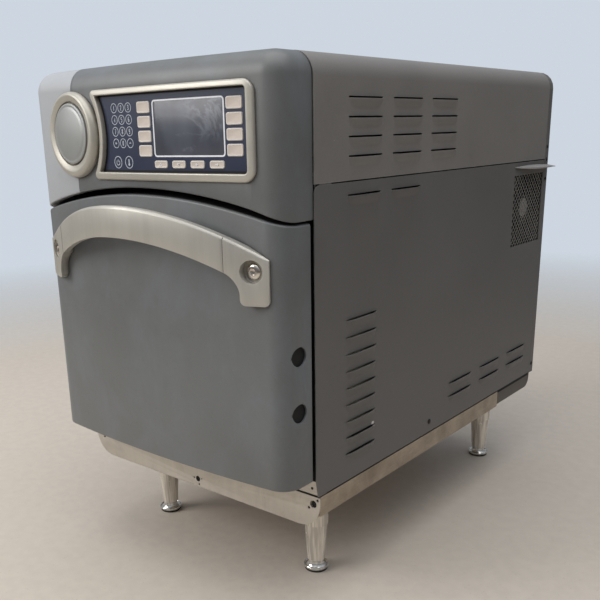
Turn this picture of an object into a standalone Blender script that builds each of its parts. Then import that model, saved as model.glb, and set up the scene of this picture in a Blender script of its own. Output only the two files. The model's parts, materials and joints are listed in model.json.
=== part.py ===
"""A countertop speed oven: impingement and microwave oven with a pull-down door.

The construction frame has y = 0 at the front edge of the side panels, x = 0 in
the middle and z = 0 on the counter. One empty shifts it so that the finished
oven has its origin at the bottom centre of its bounding box. Units are metres.
"""

import math

import bmesh
import bpy
from mathutils import Matrix, Vector

# Overall sizes, read from the photograph and the sizes such ovens are sold in.
WIDTH = 0.406
BODY_DEPTH = 0.620
HEIGHT = 0.632
HALF = WIDTH / 2
SHEET = 0.0012
CLEARANCE = 0.0003
OVERCUT = 0.004
MERGE = 0.00001
TOP_ROUND = 0.025

# Where the body divides into pan, side panels and cover, and its rear strip.
PAN_BOTTOM = 0.124
PAN_HEIGHT = 0.025
COVER_HEIGHT = 0.130
REAR_STRIP = 0.013
PANEL_BOTTOM = PAN_BOTTOM + PAN_HEIGHT
COVER_SEAM = HEIGHT - COVER_HEIGHT
PANEL_REAR = BODY_DEPTH - REAR_STRIP
PANEL_INNER = HALF - SHEET

# Bowed front: how far it stands before the side panels, and how it curves.
FRONT_REACH = 0.0594
FRONT_BOW = 0.011
FRONT_SIDE_GAP = 0.0015
FRONT_HALF = HALF - FRONT_SIDE_GAP
FRONT_CORNER = 0.026
FRONT_STEPS = 14
SLAB_STEPS = 8
CORNER_STEPS = 5
ROUND_STEPS = 5
MOULDING_WALL = 0.0025
EDGE_ROUND = 0.0022
RETURN_LIP = 0.012

# Base: pan, skirt, front frame, legs and levelling feet.
PAN_SHEET = 0.0015
PAN_REAR_GAP = 0.004
PAN_REAR = BODY_DEPTH - PAN_REAR_GAP
PAN_REAR_ROUND = 0.016
PAN_STEP_LENGTH = 0.138
PAN_STEP_Y = BODY_DEPTH - PAN_STEP_LENGTH
PAN_STEP = 0.004
FACE_Y = 0.005
FACE_SHEET = 0.0016
FACE_BACK = FACE_Y + FACE_SHEET
FRAME_HALF = PANEL_INNER - CLEARANCE
SKIRT_SIDE_GAP = 0.003
SKIRT_HALF = HALF - SKIRT_SIDE_GAP
SKIRT_DROP = 0.017
SKIRT_BOTTOM = PAN_BOTTOM - SKIRT_DROP
SKIRT_CORNER = 0.022
SKIRT_HOLE_RADIUS = 0.0040
SKIRT_HOLE_INSET = 0.008
SKIRT_HOLE_RISE = 0.031
SKIRT_HOLE_X = SKIRT_HALF - SKIRT_HOLE_INSET
SKIRT_HOLE_Z = SKIRT_BOTTOM + SKIRT_HOLE_RISE
SKIRT_MIDDLE_X = 0.0042
SKIRT_MIDDLE_RISE = 0.011
SKIRT_MIDDLE_Z = SKIRT_BOTTOM + SKIRT_MIDDLE_RISE
SKIRT_SCREW_RADIUS = 0.0016
SKIRT_SCREW_SPREAD_X = 0.0055
SKIRT_SCREW_SPREAD_Z = 0.0065
LEG_INSET = 0.063
LEG_X = HALF - LEG_INSET
LEG_FRONT_Y = 0.082
LEG_REAR_INSET = 0.060
LEG_REAR_Y = BODY_DEPTH - LEG_REAR_INSET
LEG_TOP_RADIUS = 0.0165
LEG_BOTTOM_RADIUS = 0.0115
LEG_COLLAR = 0.006
LEG_BOTTOM = 0.014
STEM_RADIUS = 0.005
STEM_TOP = 0.060
FOOT_RADIUS = 0.0155
FOOT_PAD = 0.0025
FOOT_FLANGE = 0.0045
FOOT_NECK_RADIUS = 0.0105

# Louvres: one size of wedge and slit, in rows that hang from the seam or stand on the pan.
PANEL_CORNER = 0.008
LOUVRE_LENGTH = 0.067
LOUVRE_PITCH = 0.089
LOUVRE_ROW_PITCH = 0.0198
LOUVRE_BULGE = 0.0032
LOUVRE_HEIGHT = 0.0105
LOUVRE_SLIT = 0.0024
LOUVRE_TAPER = 0.004
COVER_LOUVRE_Y = 0.0617
COVER_LOUVRE_RISE = 0.0865
COVER_LOUVRE_Z = COVER_SEAM + COVER_LOUVRE_RISE
COVER_COLUMNS = 3
COVER_ROWS = 4
HIGH_LOUVRE_Y = 0.0605
HIGH_LOUVRE_DROP = 0.0145
HIGH_LOUVRE_Z = COVER_SEAM - HIGH_LOUVRE_DROP
HIGH_COLUMNS = 2
HIGH_ROWS = 1
STACK_Y = 0.0576
STACK_RISE = 0.200
STACK_Z = PANEL_BOTTOM + STACK_RISE
STACK_COLUMNS = 1
STACK_ROWS = 9
STACK_ROW_PITCH = 0.0204
STACK_LENGTH = 0.064
LOW_LOUVRE_INSET = 0.307
LOW_LOUVRE_Y = BODY_DEPTH - LOW_LOUVRE_INSET
LOW_LOUVRE_RISE = 0.0585
LOW_LOUVRE_Z = PANEL_BOTTOM + LOW_LOUVRE_RISE
LOW_COLUMNS = 3
LOW_ROWS = 2
LOW_LENGTH = 0.071
LOW_PITCH = 0.0965

# Fan vent in the right panel, its mesh and its visor.
VENT_INSET = 0.0705
VENT_Y = BODY_DEPTH - VENT_INSET
VENT_DROP = 0.073
VENT_Z = COVER_SEAM - VENT_DROP
VENT_LENGTH = 0.107
VENT_HEIGHT = 0.106
VENT_LAP = 0.007
VENT_COLUMNS = 5
VENT_ROWS = 5
VENT_RIB = 0.0030
VISOR_REACH = 0.0135
VISOR_RISE = 0.010
VISOR_OVERHANG = 0.008

# Rear panel: two columns of slots and the cord's gland.
REAR_SLOT_MIDDLE_GAP = 0.010
REAR_SLOT_SIDE_GAP = 0.043
REAR_SLOT_LENGTH = HALF - REAR_SLOT_MIDDLE_GAP - REAR_SLOT_SIDE_GAP
REAR_SLOT_X = REAR_SLOT_MIDDLE_GAP + REAR_SLOT_LENGTH / 2
REAR_SLOT_HEIGHT = 0.005
REAR_SLOT_PITCH = 0.014
REAR_SLOTS = 8
REAR_SLOT_DROP = 0.022
REAR_SLOT_Z = COVER_SEAM - REAR_SLOT_DROP
GLAND_INSET = 0.063
GLAND_X = GLAND_INSET - HALF
GLAND_RISE = 0.041
GLAND_Z = PANEL_BOTTOM + GLAND_RISE
GLAND_RADIUS = 0.016
GLAND_NECK_RADIUS = 0.012
GLAND_BORE = 0.007
GLAND_REACH = 0.014
GLAND_FLANGE = 0.004

# Hood over the door: arch, end cap, round badge.
HOOD_HEIGHT = 0.134
HOOD_ARCH_MIDDLE = HEIGHT - HOOD_HEIGHT
HOOD_CORNER_DROP = 0.0045
HOOD_CORNER_POWER = 8
DOOR_GAP = 0.0072
ARCH_DROP = 0.028
CAP_WIDTH = 0.092
CAP_EDGE_X = CAP_WIDTH - HALF
BADGE_INSET = 0.094
BADGE_X = BADGE_INSET - HALF
BADGE_DROP = 0.0752
BADGE_Z = HEIGHT - BADGE_DROP
BADGE_RADIUS = 0.049
BADGE_SHOULDER_RADIUS = 0.047
BADGE_RIM_RADIUS = 0.0434
BADGE_POCKET_RADIUS = 0.0365
BADGE_EDGE = 0.0022
BADGE_SHOULDER_HEIGHT = 0.0056
BADGE_HEIGHT = 0.0085
BADGE_LIP_HEIGHT = 0.0066
BADGE_FLOOR = 0.004
BADGE_SHIFT = 0.0016
BADGE_TILT_DEG = 2.5
DISC_BOSS_GAP = 0.001
DISC_RADIUS = 0.0345
DISC_EDGE_HEIGHT = 0.008
DISC_CROWN = 0.003
DISC_STEPS = 3
DISC_SWEEP_DEG = 72
BADGE_STEPS = 28

# Control bezel, between the badge and the hood's right end.
BEZEL_BADGE_REACH = 0.042
BEZEL_LEFT = BADGE_X + BEZEL_BADGE_REACH
BEZEL_SIDE_GAP = 0.032
BEZEL_RIGHT = HALF - BEZEL_SIDE_GAP
BEZEL_ARCH_GAP = 0.0085
BEZEL_BOTTOM = HOOD_ARCH_MIDDLE + BEZEL_ARCH_GAP
BEZEL_DROP = 0.0268
BEZEL_TOP = HEIGHT - BEZEL_DROP
BEZEL_CORNER = 0.014
BEZEL_LEFT_CORNER = 0.0055
BEZEL_LEFT_CORNER_LEAST = 0.001
BEZEL_FILLET_STEPS = 4
BEZEL_BORDER = 0.0085
BEZEL_HEIGHT = 0.0046
BEZEL_EDGE = 0.0016
BEZEL_SHOULDER = 0.003
BEZEL_SHOULDER_DROP = 0.0012
BEZEL_CREST = 0.0066
BEZEL_INNER_EDGE = 0.001
BEZEL_HOLLOW_SHIFT = 0.0305
BEZEL_HOLLOW_X = BADGE_X - BEZEL_HOLLOW_SHIFT
BEZEL_HOLLOW_RADIUS = 0.0807
BEZEL_WALL = 0.0014
BEZEL_BACK = 0.0048

# Keypad: a printed membrane, number places raised in it, and two sets of key pads.
MEMBRANE = 0.0012
MEMBRANE_FACE = 0.0012
NUMBER_INSET = 0.0342
NUMBER_X = BEZEL_LEFT + NUMBER_INSET
NUMBER_DROP = 0.0207
NUMBER_Z = BEZEL_TOP - NUMBER_DROP
NUMBER_PITCH_X = 0.0122
NUMBER_PITCH_Z = 0.0126
NUMBER_COLUMNS = 3
NUMBER_ROWS = 4
NUMBER_RADIUS = 0.0046
NUMBER_RISE = 0.0005
ROUND_KEY_INSET = 0.0351
ROUND_KEY_X = BEZEL_LEFT + ROUND_KEY_INSET
ROUND_KEY_PITCH = 0.0191
ROUND_KEY_UP = 0.0195
ROUND_KEY_Z = BEZEL_BOTTOM + ROUND_KEY_UP
ROUND_KEY_RADIUS = 0.0070
ROUND_KEYS = 2
KEY_RISE = 0.0011
KEY_EDGE = 0.0007
KEY_LIP = 0.0008
KEY_LIP_DEPTH = 0.0010
KEY_STEPS = 2
SIDE_KEY_WIDTH = 0.0205
SIDE_KEY_HEIGHT = 0.0122
SIDE_KEY_PITCH = 0.0152
SIDE_KEY_DROP = 0.0214
SIDE_KEY_TOP_Z = BEZEL_TOP - SIDE_KEY_DROP
SIDE_KEYS = 4
LEFT_KEY_INSET = 0.0838
LEFT_KEY_X = BEZEL_LEFT + LEFT_KEY_INSET
RIGHT_KEY_INSET = 0.0264
RIGHT_KEY_X = BEZEL_RIGHT - RIGHT_KEY_INSET

# Display between the two columns of keys, and the arrow keys under it.
DISPLAY_KEY_GAP = 0.0044
DISPLAY_SHIFT = 0.0005
DISPLAY_X = (LEFT_KEY_X + RIGHT_KEY_X) / 2 + DISPLAY_SHIFT
DISPLAY_DROP = 0.0440
DISPLAY_Z = BEZEL_TOP - DISPLAY_DROP
DISPLAY_WIDTH = RIGHT_KEY_X - LEFT_KEY_X - SIDE_KEY_WIDTH - 2 * DISPLAY_KEY_GAP
DISPLAY_HEIGHT = 0.0560
DISPLAY_DEPTH = 0.0090
DISPLAY_LIP = 0.0020
LOW_KEY_NAMES = ("up", "down", "back", "enter")
LOW_KEY_PITCH_SHARE = 0.272
LOW_KEY_WIDTH_SHARE = 0.728
LOW_KEY_PITCH = DISPLAY_WIDTH * LOW_KEY_PITCH_SHARE
LOW_KEY_WIDTH = LOW_KEY_PITCH * LOW_KEY_WIDTH_SHARE
LOW_KEY_HEIGHT = 0.0080
LOW_KEY_UP = 0.0175
LOW_KEY_Z = BEZEL_BOTTOM + LOW_KEY_UP
LOW_KEY_SHIFT = 0.001
LOW_KEY_X = DISPLAY_X - LOW_KEY_SHIFT - LOW_KEY_PITCH * (len(LOW_KEY_NAMES) - 1) / 2
BOARD_SHEET = 0.0016
BOARD_MARGIN = 0.006
BOARD_PART_HEIGHT = 0.009
BOARD_PART_SHARES = ((0.1, 0.2, 0.5), (0.45, 0.12, 0.3), (0.7, 0.2, 0.6))

# Cook chamber and what is in it.
CHAMBER_SIDE_GAP = 0.044
CHAMBER_HALF = HALF - CHAMBER_SIDE_GAP
CHAMBER_RISE = 0.086
CHAMBER_BOTTOM = PANEL_BOTTOM + CHAMBER_RISE
CHAMBER_DROP = 0.084
CHAMBER_TOP = COVER_SEAM - CHAMBER_DROP
CHAMBER_MIDDLE = (CHAMBER_BOTTOM + CHAMBER_TOP) / 2
CHAMBER_DEPTH = 0.270
CHAMBER_FRONT = FACE_BACK + CLEARANCE
CHAMBER_BACK = CHAMBER_FRONT + CHAMBER_DEPTH
CHAMBER_SHEET = 0.0015
CHAMBER_FLANGE = 0.008
LEDGE_RISE = 0.040
LEDGE_Z = CHAMBER_BOTTOM + LEDGE_RISE
LEDGE_WIDTH = 0.009
LEDGE_SHEET = 0.002
INLET_SHARE = 0.492
INLET_RADIUS = (CHAMBER_TOP - CHAMBER_MIDDLE) * INLET_SHARE
JET_HEIGHT = 0.013
JET_SHEET = 0.0015
JET_HOLE = 0.0055
JET_COLUMNS = 5
JET_ROWS = 4
JET_MARGIN = 0.030
RACK_WIRE = 0.0022
RACK_BAR_WIRE = 0.0015
RACK_BARS = 9
RACK_CORNER = 0.015
RACK_MARGIN = 0.006
INSULATION = 0.024
INSULATION_BACK = CHAMBER_BACK + INSULATION

# Door: skin, inner plate with its plug, gasket, hinge.
DOOR_RISE = 0.023
DOOR_BOTTOM = PANEL_BOTTOM + DOOR_RISE
DOOR_REAR = -0.005
DOOR_PLATE = 0.0025
DOOR_FIT = 0.0012
DOOR_ARCH_MIDDLE = HOOD_ARCH_MIDDLE - DOOR_GAP
DOOR_FLANGE_FRONT = -0.036
DOOR_FLANGE_INSET = 0.025
PLUG_SIDE_GAP = 0.009
PLUG_HALF = CHAMBER_HALF - PLUG_SIDE_GAP
PLUG_END_GAP = 0.0115
PLUG_HEIGHT = CHAMBER_TOP - CHAMBER_BOTTOM - 2 * PLUG_END_GAP
PLUG_REACH = 0.0080
GASKET_WIDTH = 0.010
GASKET_CORNER = 0.012
WIDE_STEPS = 3
HOLE_RADIUS = 0.011
HOLE_Y = -0.0255
HOLE_UPPER_RISE = 0.153
HOLE_LOWER_RISE = 0.089
HINGE_Y = -0.015
HINGE_RISE = 0.012
HINGE_Z = DOOR_BOTTOM + HINGE_RISE
PIN_RADIUS = 0.004
PIN_CLEARANCE = 0.0003
ARM_INSET = 0.013
ARM_X = HALF - ARM_INSET
ARM_SHEET = 0.006
ARM_FRONT = -0.034
ARM_LENGTH = 0.161
ARM_TOP = HINGE_Z + ARM_LENGTH
ARM_FOOT = 0.0075
EAR_SHEET = 0.006
EAR_RADIUS = 0.0065
EAR_GAP = 0.0012
BRACKET_WIDTH = 0.028
BRACKET_RISE = 0.030
BRACKET_SHEET = 0.0015
NOTCH_SIDE = 0.002
NOTCH_REACH = 0.0095

# Handle: bowed bar on two cast end brackets.
HANDLE_INSET = 0.019
HANDLE_HALF = HALF - HANDLE_INSET
HANDLE_BRACKET = 0.0465
HANDLE_SPLIT = HANDLE_HALF - HANDLE_BRACKET
HANDLE_REACH = 0.0414
HANDLE_REACH_FALL = 0.0392
HANDLE_REACH_POWER = 1.55
HANDLE_FRONT = -(FRONT_REACH + HANDLE_REACH)
HANDLE_TOP_GAP = 0.0092
HANDLE_TOP = DOOR_ARCH_MIDDLE - HANDLE_TOP_GAP
HANDLE_TOP_FALL = 0.0513
HANDLE_HEIGHT = 0.0347
HANDLE_LOW = HANDLE_TOP - HANDLE_HEIGHT
HANDLE_LOW_FALL = 0.0558
HANDLE_THICKNESS = 0.0095
HANDLE_CHAMFER = 0.0022
HANDLE_EDGE = 0.0012
HANDLE_STEPS = 18
BRACKET_BACK_DROP = 0.028
FOOT_WIDTH = 0.030
FOOT_INNER = HANDLE_HALF - FOOT_WIDTH
FOOT_DROP = 0.100
FOOT_LOW = HANDLE_TOP - FOOT_DROP
FOOT_FILLET = 0.016
FOOT_ROUND = 0.006
FILLET_SHARES = (1, 0.7, 0.4, 0.2, 0.001)
CORNER_SHARES = (0, 0.3, 1)
POCKET_INSET = 0.0184
POCKET_X = HANDLE_HALF - POCKET_INSET
POCKET_DROP = 0.0639
POCKET_Z = HANDLE_TOP - POCKET_DROP
POCKET_RADIUS = 0.0122
POCKET_FLOOR = 0.002
POCKET_CUT = 0.030
SCREW_HEAD_RADIUS = 0.0085
SCREW_HEAD_HEIGHT = 0.0016
SCREW_ROOT = 0.0008
SOCKET_RADIUS = 0.0036
SOCKET_DEPTH = 0.0012

# Hot-air blower with its heater, behind the chamber.
BLOWER_Z = CHAMBER_MIDDLE
SCROLL_START = 0.088
SCROLL_GROWTH = 0.018
SCROLL_STEPS = 20
SCROLL_WIDTH = 0.062
SCROLL_SHEET = 0.002
SCROLL_FRONT = INSULATION_BACK + CLEARANCE
SCROLL_BACK = SCROLL_FRONT + SCROLL_WIDTH
WHEEL_RADIUS = 0.060
WHEEL_WIDTH = 0.036
WHEEL_HUB = 0.016
WHEEL_BLADES = 10
WHEEL_BLADE_SHEET = 0.002
WHEEL_BLADE_LENGTH = 0.016
WHEEL_PLATE = 0.0025
SHAFT_RADIUS = 0.006
SHAFT_CLEARANCE = 0.0004
MOTOR_RADIUS = 0.055
MOTOR_LENGTH = 0.105
MOTOR_BOSS = 0.022
HEATER_RADIUS = 0.0745
HEATER_TUBE = 0.0035
HEATER_TURN_DEG = 300
HEATER_POINTS = 18
LEAD_CLEARANCE = 0.0006

# Microwave source, its transformer, and the cooling fan behind the side vent.
MAGNETRON_X = 0.062
MAGNETRON_SETBACK = 0.0719
MAGNETRON_Y = CHAMBER_BACK - MAGNETRON_SETBACK
MAGNETRON_WIDTH = 0.080
MAGNETRON_DEPTH = 0.090
MAGNETRON_HEIGHT = 0.055
MAGNETRON_FINS = 5
FIN_SHEET = 0.002
FIN_REACH = 0.006
ANTENNA_RADIUS = 0.009
TRANSFORMER_INSET = 0.118
TRANSFORMER_X = HALF - TRANSFORMER_INSET
TRANSFORMER_SETBACK = 0.0768
TRANSFORMER_Y = SCROLL_BACK + TRANSFORMER_SETBACK
TRANSFORMER_WIDTH = 0.110
TRANSFORMER_DEPTH = 0.080
TRANSFORMER_HEIGHT = 0.085
WINDING_REACH = 0.016
WINDING_SHARE = 0.55
FAN_SIZE = 0.119
FAN_DEPTH = 0.036
FAN_BORE = 0.056
FAN_HUB = 0.021
FAN_SPOKES = 4
FAN_SPOKE_DEG = 8
FAN_BACK = 0.004
FAN_PIN = 0.003
FAN_BLADES = 5
FAN_BLADE_SHEET = 0.002
FAN_BLADE_SHARE = 0.8
FAN_BLADE_TIP_GAP = 0.003
FAN_BLADE_PITCH_DEG = 38
FAN_SHELF = 0.010

# The finished oven's origin, at the bottom centre of its bounding box.
REAR_REACH = BODY_DEPTH + GLAND_REACH
ORIGIN_X = (VISOR_REACH - LOUVRE_BULGE) / 2
ORIGIN_Y = (REAR_REACH + HANDLE_FRONT) / 2
SMOOTH_ANGLE = math.radians(32)
ROUND_SIDES = 24
LEG_SIDES = 16
SMALL_SIDES = 12
BUMP_SIDES = 8
HEX_SIDES = 6


def clear_scene():
    for obj in list(bpy.data.objects):
        bpy.data.objects.remove(obj, do_unlink=True)


def add_collection(name, hidden=False):
    collection = bpy.data.collections.new(name)
    bpy.context.scene.collection.children.link(collection)
    collection.hide_render = hidden
    return collection


clear_scene()
PARTS = add_collection("speed_oven")
CUTTERS = add_collection("cutters", hidden=True)


def add_empty(name, place, parent=None):
    empty = bpy.data.objects.new(name, None)
    empty.location = place
    empty.parent = parent
    PARTS.objects.link(empty)
    return empty


ORIGIN = add_empty("oven_origin", (-ORIGIN_X, -ORIGIN_Y, 0))
HINGE_AXIS = add_empty("door_hinge_axis", (0, HINGE_Y, HINGE_Z), ORIGIN)


def make_material(name, color, roughness, metallic):
    material = bpy.data.materials.new(name)
    material.use_nodes = True
    shader = material.node_tree.nodes["Principled BSDF"]
    shader.inputs["Base Color"].default_value = (*color, 1)
    shader.inputs["Roughness"].default_value = roughness
    shader.inputs["Metallic"].default_value = metallic
    return material


MATERIALS = {
    "grey_paint": make_material("grey_paint", (0.075, 0.073, 0.070), 0.50, 0.0),
    "grey_moulding": make_material("grey_moulding", (0.095, 0.100, 0.108), 0.45, 0.0),
    "silver_moulding": make_material("silver_moulding", (0.42, 0.42, 0.42), 0.42, 0.3),
    "champagne": make_material("champagne", (0.60, 0.55, 0.47), 0.32, 0.8),
    "stainless": make_material("stainless", (0.55, 0.52, 0.48), 0.35, 1.0),
    "chrome": make_material("chrome", (0.75, 0.76, 0.77), 0.10, 1.0),
    "navy_film": make_material("navy_film", (0.02, 0.027, 0.055), 0.35, 0.0),
    "cream_key": make_material("cream_key", (0.66, 0.62, 0.54), 0.40, 0.0),
    "display_glass": make_material("display_glass", (0.05, 0.055, 0.07), 0.12, 0.0),
    "circuit_board": make_material("circuit_board", (0.03, 0.13, 0.06), 0.5, 0.0),
    "black_plastic": make_material("black_plastic", (0.02, 0.02, 0.02), 0.5, 0.0),
    "silicone": make_material("silicone", (0.06, 0.05, 0.05), 0.7, 0.0),
    "mineral_wool": make_material("mineral_wool", (0.55, 0.52, 0.42), 0.95, 0.0),
    "zinc_steel": make_material("zinc_steel", (0.50, 0.51, 0.52), 0.42, 0.9),
}


def finish_mesh(bm, name):
    bmesh.ops.recalc_face_normals(bm, faces=bm.faces)
    mesh = bpy.data.meshes.new(name)
    bm.to_mesh(mesh)
    bm.free()
    return mesh


def add_part(mesh, material, pivot=(0, 0, 0), parent=ORIGIN):
    """Links a mesh drawn in the construction frame, with its origin at pivot."""
    mesh.materials.clear()
    mesh.materials.append(MATERIALS[material])
    mesh.shade_smooth()
    mesh.set_sharp_from_angle(angle=SMOOTH_ANGLE)
    mesh.transform(Matrix.Translation(-Vector(pivot)))
    obj = bpy.data.objects.new(mesh.name, mesh)
    obj.parent = parent
    if parent is ORIGIN:
        obj.location = pivot
    PARTS.objects.link(obj)
    return obj


def add_door_part(mesh, material):
    return add_part(mesh, material, (0, HINGE_Y, HINGE_Z), HINGE_AXIS)


def add_helper(mesh):
    obj = bpy.data.objects.new(mesh.name, mesh)
    obj.parent = ORIGIN
    obj.display_type = "WIRE"
    obj.hide_render = True
    CUTTERS.objects.link(obj)
    return obj


def add_boolean(obj, mesh, operation):
    modifier = obj.modifiers.new(mesh.name, "BOOLEAN")
    modifier.operation = operation
    modifier.object = add_helper(mesh)
    return obj


def cut(obj, *meshes):
    for mesh in meshes:
        add_boolean(obj, mesh, "DIFFERENCE")
    return obj


def fuse(obj, *meshes):
    for mesh in meshes:
        add_boolean(obj, mesh, "UNION")
    return obj


def solidify(obj, thickness, offset=-1):
    modifier = obj.modifiers.new("wall", "SOLIDIFY")
    modifier.thickness = thickness
    modifier.offset = offset
    modifier.use_even_offset = True
    modifier.use_quality_normals = True
    return obj


def fill_box(bm, low, high):
    size = [b - a for a, b in zip(low, high)]
    middle = [(a + b) / 2 for a, b in zip(low, high)]
    matrix = Matrix.Translation(middle) @ Matrix.Diagonal((*size, 1))
    bmesh.ops.create_cube(bm, size=1, matrix=matrix)


def box_mesh(name, *corners):
    """Boxes in one mesh, each given as a low and a high corner."""
    bm = bmesh.new()
    for low, high in corners:
        fill_box(bm, low, high)
    return finish_mesh(bm, name)


def turn_of(axis):
    """The rotation that carries +Z onto the named axis."""
    if axis == "x":
        return Matrix.Rotation(math.pi / 2, 4, "Y")
    if axis == "y":
        return Matrix.Rotation(-math.pi / 2, 4, "X")
    return Matrix.Identity(4)


def fill_cylinder(bm, start, length, radius, axis, end_radius=None, sides=ROUND_SIDES):
    """A cylinder or cone from start, running length along the axis."""
    turn = turn_of(axis)
    middle = Vector(start) + turn @ Vector((0, 0, length / 2))
    bmesh.ops.create_cone(
        bm,
        cap_ends=True,
        segments=sides,
        radius1=radius,
        radius2=radius if end_radius is None else end_radius,
        depth=length,
        matrix=Matrix.Translation(middle) @ turn,
    )


def cylinder_mesh(name, start, length, radius, axis, end_radius=None, sides=ROUND_SIDES):
    bm = bmesh.new()
    fill_cylinder(bm, start, length, radius, axis, end_radius, sides)
    return finish_mesh(bm, name)


def fill_prism(bm, outline, axis, low, high):
    """A closed outline, given in the plane across the axis, extruded along it."""
    corner = {
        "x": lambda a, b, c: (c, a, b),
        "y": lambda a, b, c: (a, c, b),
        "z": lambda a, b, c: (a, b, c),
    }[axis]
    face = bm.faces.new([bm.verts.new(corner(a, b, low)) for a, b in outline])
    moved = bmesh.ops.extrude_face_region(bm, geom=[face])["geom"]
    points = [item for item in moved if isinstance(item, bmesh.types.BMVert)]
    shift = Vector(corner(0, 0, high)) - Vector(corner(0, 0, low))
    bmesh.ops.translate(bm, verts=points, vec=shift)


def prism_mesh(name, outline, axis, low, high):
    bm = bmesh.new()
    fill_prism(bm, outline, axis, low, high)
    return finish_mesh(bm, name)


def loft_mesh(name, rings, ring_closed=True, loop=False, caps=True):
    """Skins rings that have one number of points each."""
    bm = bmesh.new()
    rows = [[bm.verts.new(point) for point in ring] for ring in rings]
    pairs = list(zip(rows, rows[1:])) + ([(rows[-1], rows[0])] if loop else [])
    for one, two in pairs:
        count = len(one) if ring_closed else len(one) - 1
        for k in range(count):
            j = (k + 1) % len(one)
            bm.faces.new((one[k], one[j], two[j], two[k]))
    if caps and not loop:
        bm.faces.new(rows[0])
        bm.faces.new(rows[-1])
    return finish_mesh(bm, name)


def turned_part(name, profile, place, axis, material, steps=ROUND_SIDES):
    """A profile of (radius, height) points, top to bottom, turned about the axis."""
    bm = bmesh.new()
    points = [bm.verts.new((radius, 0, height)) for radius, height in profile]
    for one, two in zip(points, points[1:]):
        bm.edges.new((one, two))
    mesh = bpy.data.meshes.new(name)
    bm.to_mesh(mesh)
    bm.free()
    mesh.materials.append(MATERIALS[material])
    obj = bpy.data.objects.new(name, mesh)
    obj.parent = ORIGIN
    obj.matrix_local = Matrix.Translation(place) @ turn_of(axis)
    PARTS.objects.link(obj)
    screw = obj.modifiers.new("turn", "SCREW")
    screw.axis = "Z"
    screw.steps = steps
    screw.render_steps = steps
    screw.use_merge_vertices = True
    screw.merge_threshold = MERGE
    screw.use_smooth_shade = True
    return obj


def wire_mesh(name, points, radius, closed=False, sides=2):
    """A bent wire as a welded mesh."""
    curve = bpy.data.curves.new(name, "CURVE")
    curve.dimensions = "3D"
    curve.bevel_depth = radius
    curve.bevel_resolution = sides
    curve.use_fill_caps = True
    spline = curve.splines.new("POLY")
    spline.points.add(len(points) - 1)
    for point, place in zip(spline.points, points):
        point.co = (*place, 1)
    spline.use_cyclic_u = closed
    obj = bpy.data.objects.new(name, curve)
    bpy.context.scene.collection.objects.link(obj)
    graph = bpy.context.evaluated_depsgraph_get()
    mesh = bpy.data.meshes.new_from_object(obj.evaluated_get(graph))
    bpy.data.objects.remove(obj, do_unlink=True)
    bm = bmesh.new()
    bm.from_mesh(mesh)
    bmesh.ops.remove_doubles(bm, verts=bm.verts, dist=MERGE)
    bmesh.ops.recalc_face_normals(bm, faces=bm.faces)
    bm.to_mesh(mesh)
    bm.free()
    mesh.name = name
    return mesh


def arc(centre, radius, start_deg, end_deg, steps):
    """Points on an arc, both ends included."""
    points = []
    for k in range(steps + 1):
        angle = math.radians(start_deg + (end_deg - start_deg) * k / steps)
        points.append((centre[0] + radius * math.cos(angle), centre[1] + radius * math.sin(angle)))
    return points


def round_rect(left, right, low, high, radius, steps=CORNER_STEPS):
    return (
        arc((right - radius, low + radius), radius, -90, 0, steps)
        + arc((right - radius, high - radius), radius, 0, 90, steps)
        + arc((left + radius, high - radius), radius, 90, 180, steps)
        + arc((left + radius, low + radius), radius, 180, 270, steps)
    )


def along(start, end, k, steps):
    """The k-th of a number of even steps from start to end."""
    return start + (end - start) * k / steps


def bow(x):
    """How far the front falls back at x from where it stands in the middle."""
    return FRONT_BOW * (x / FRONT_HALF) ** 2


def front_y(x):
    return bow(x) - FRONT_REACH


def arch_z(x, middle):
    return middle - ARCH_DROP * (x / FRONT_HALF) ** 2


def bow_mesh(mesh):
    """Bends a mesh drawn on a flat front at y = 0 onto the bowed front."""
    for vertex in mesh.vertices:
        vertex.co.y += front_y(vertex.co.x)
    return mesh


def front_outline(inset, rear_y):
    """The plan of the bowed front, from its rear left end round to its rear right end."""
    half = FRONT_HALF - inset
    radius = FRONT_CORNER - inset
    flat = half - radius
    front = []
    for k in range(1, FRONT_STEPS):
        x = along(-flat, flat, k, FRONT_STEPS)
        front.append((x, front_y(x) + inset))
    centre_y = front_y(flat) + inset + radius
    left = arc((-flat, centre_y), radius, 180, 270, CORNER_STEPS)
    right = arc((flat, centre_y), radius, 270, 360, CORNER_STEPS)
    return [(-half, rear_y)] + left + front + right + [(half, rear_y)]


def front_ring(inset, rear_y, height):
    """A ring of the bowed front, with its height given as a function of x."""
    return [(x, y, height(x)) for x, y in front_outline(inset, rear_y)]


def louvre_bulges(name, side, places):
    """Pressed wedges on the outside of a side sheet, open at the top."""
    bm = bmesh.new()
    face = side * (HALF - SHEET / 2)
    tip = side * (HALF + LOUVRE_BULGE)
    for y, z, length in places:
        low = z - LOUVRE_HEIGHT
        near = [(face, y, z), (face, y, low)]
        peak = (tip, y + LOUVRE_TAPER, z)
        far = [(face, y + length, z), (face, y + length, low)]
        peak_far = (tip, y + length - LOUVRE_TAPER, z)
        a, b = [bm.verts.new(point) for point in near]
        c, d = [bm.verts.new(point) for point in far]
        e, f = bm.verts.new(peak), bm.verts.new(peak_far)
        for corners in ((a, b, e), (c, f, d), (a, e, f, c), (b, d, f, e), (a, c, d, b)):
            bm.faces.new(corners)
    return finish_mesh(bm, name)


def louvre_slits(name, side, places):
    boxes = []
    for y, z, length in places:
        x_range = sorted((side * (PANEL_INNER - OVERCUT), side * (HALF + OVERCUT)))
        low = (x_range[0], y + LOUVRE_TAPER / 2, z)
        high = (x_range[1], y + length - LOUVRE_TAPER / 2, z + LOUVRE_SLIT)
        boxes.append((low, high))
    return box_mesh(name, *boxes)


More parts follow.
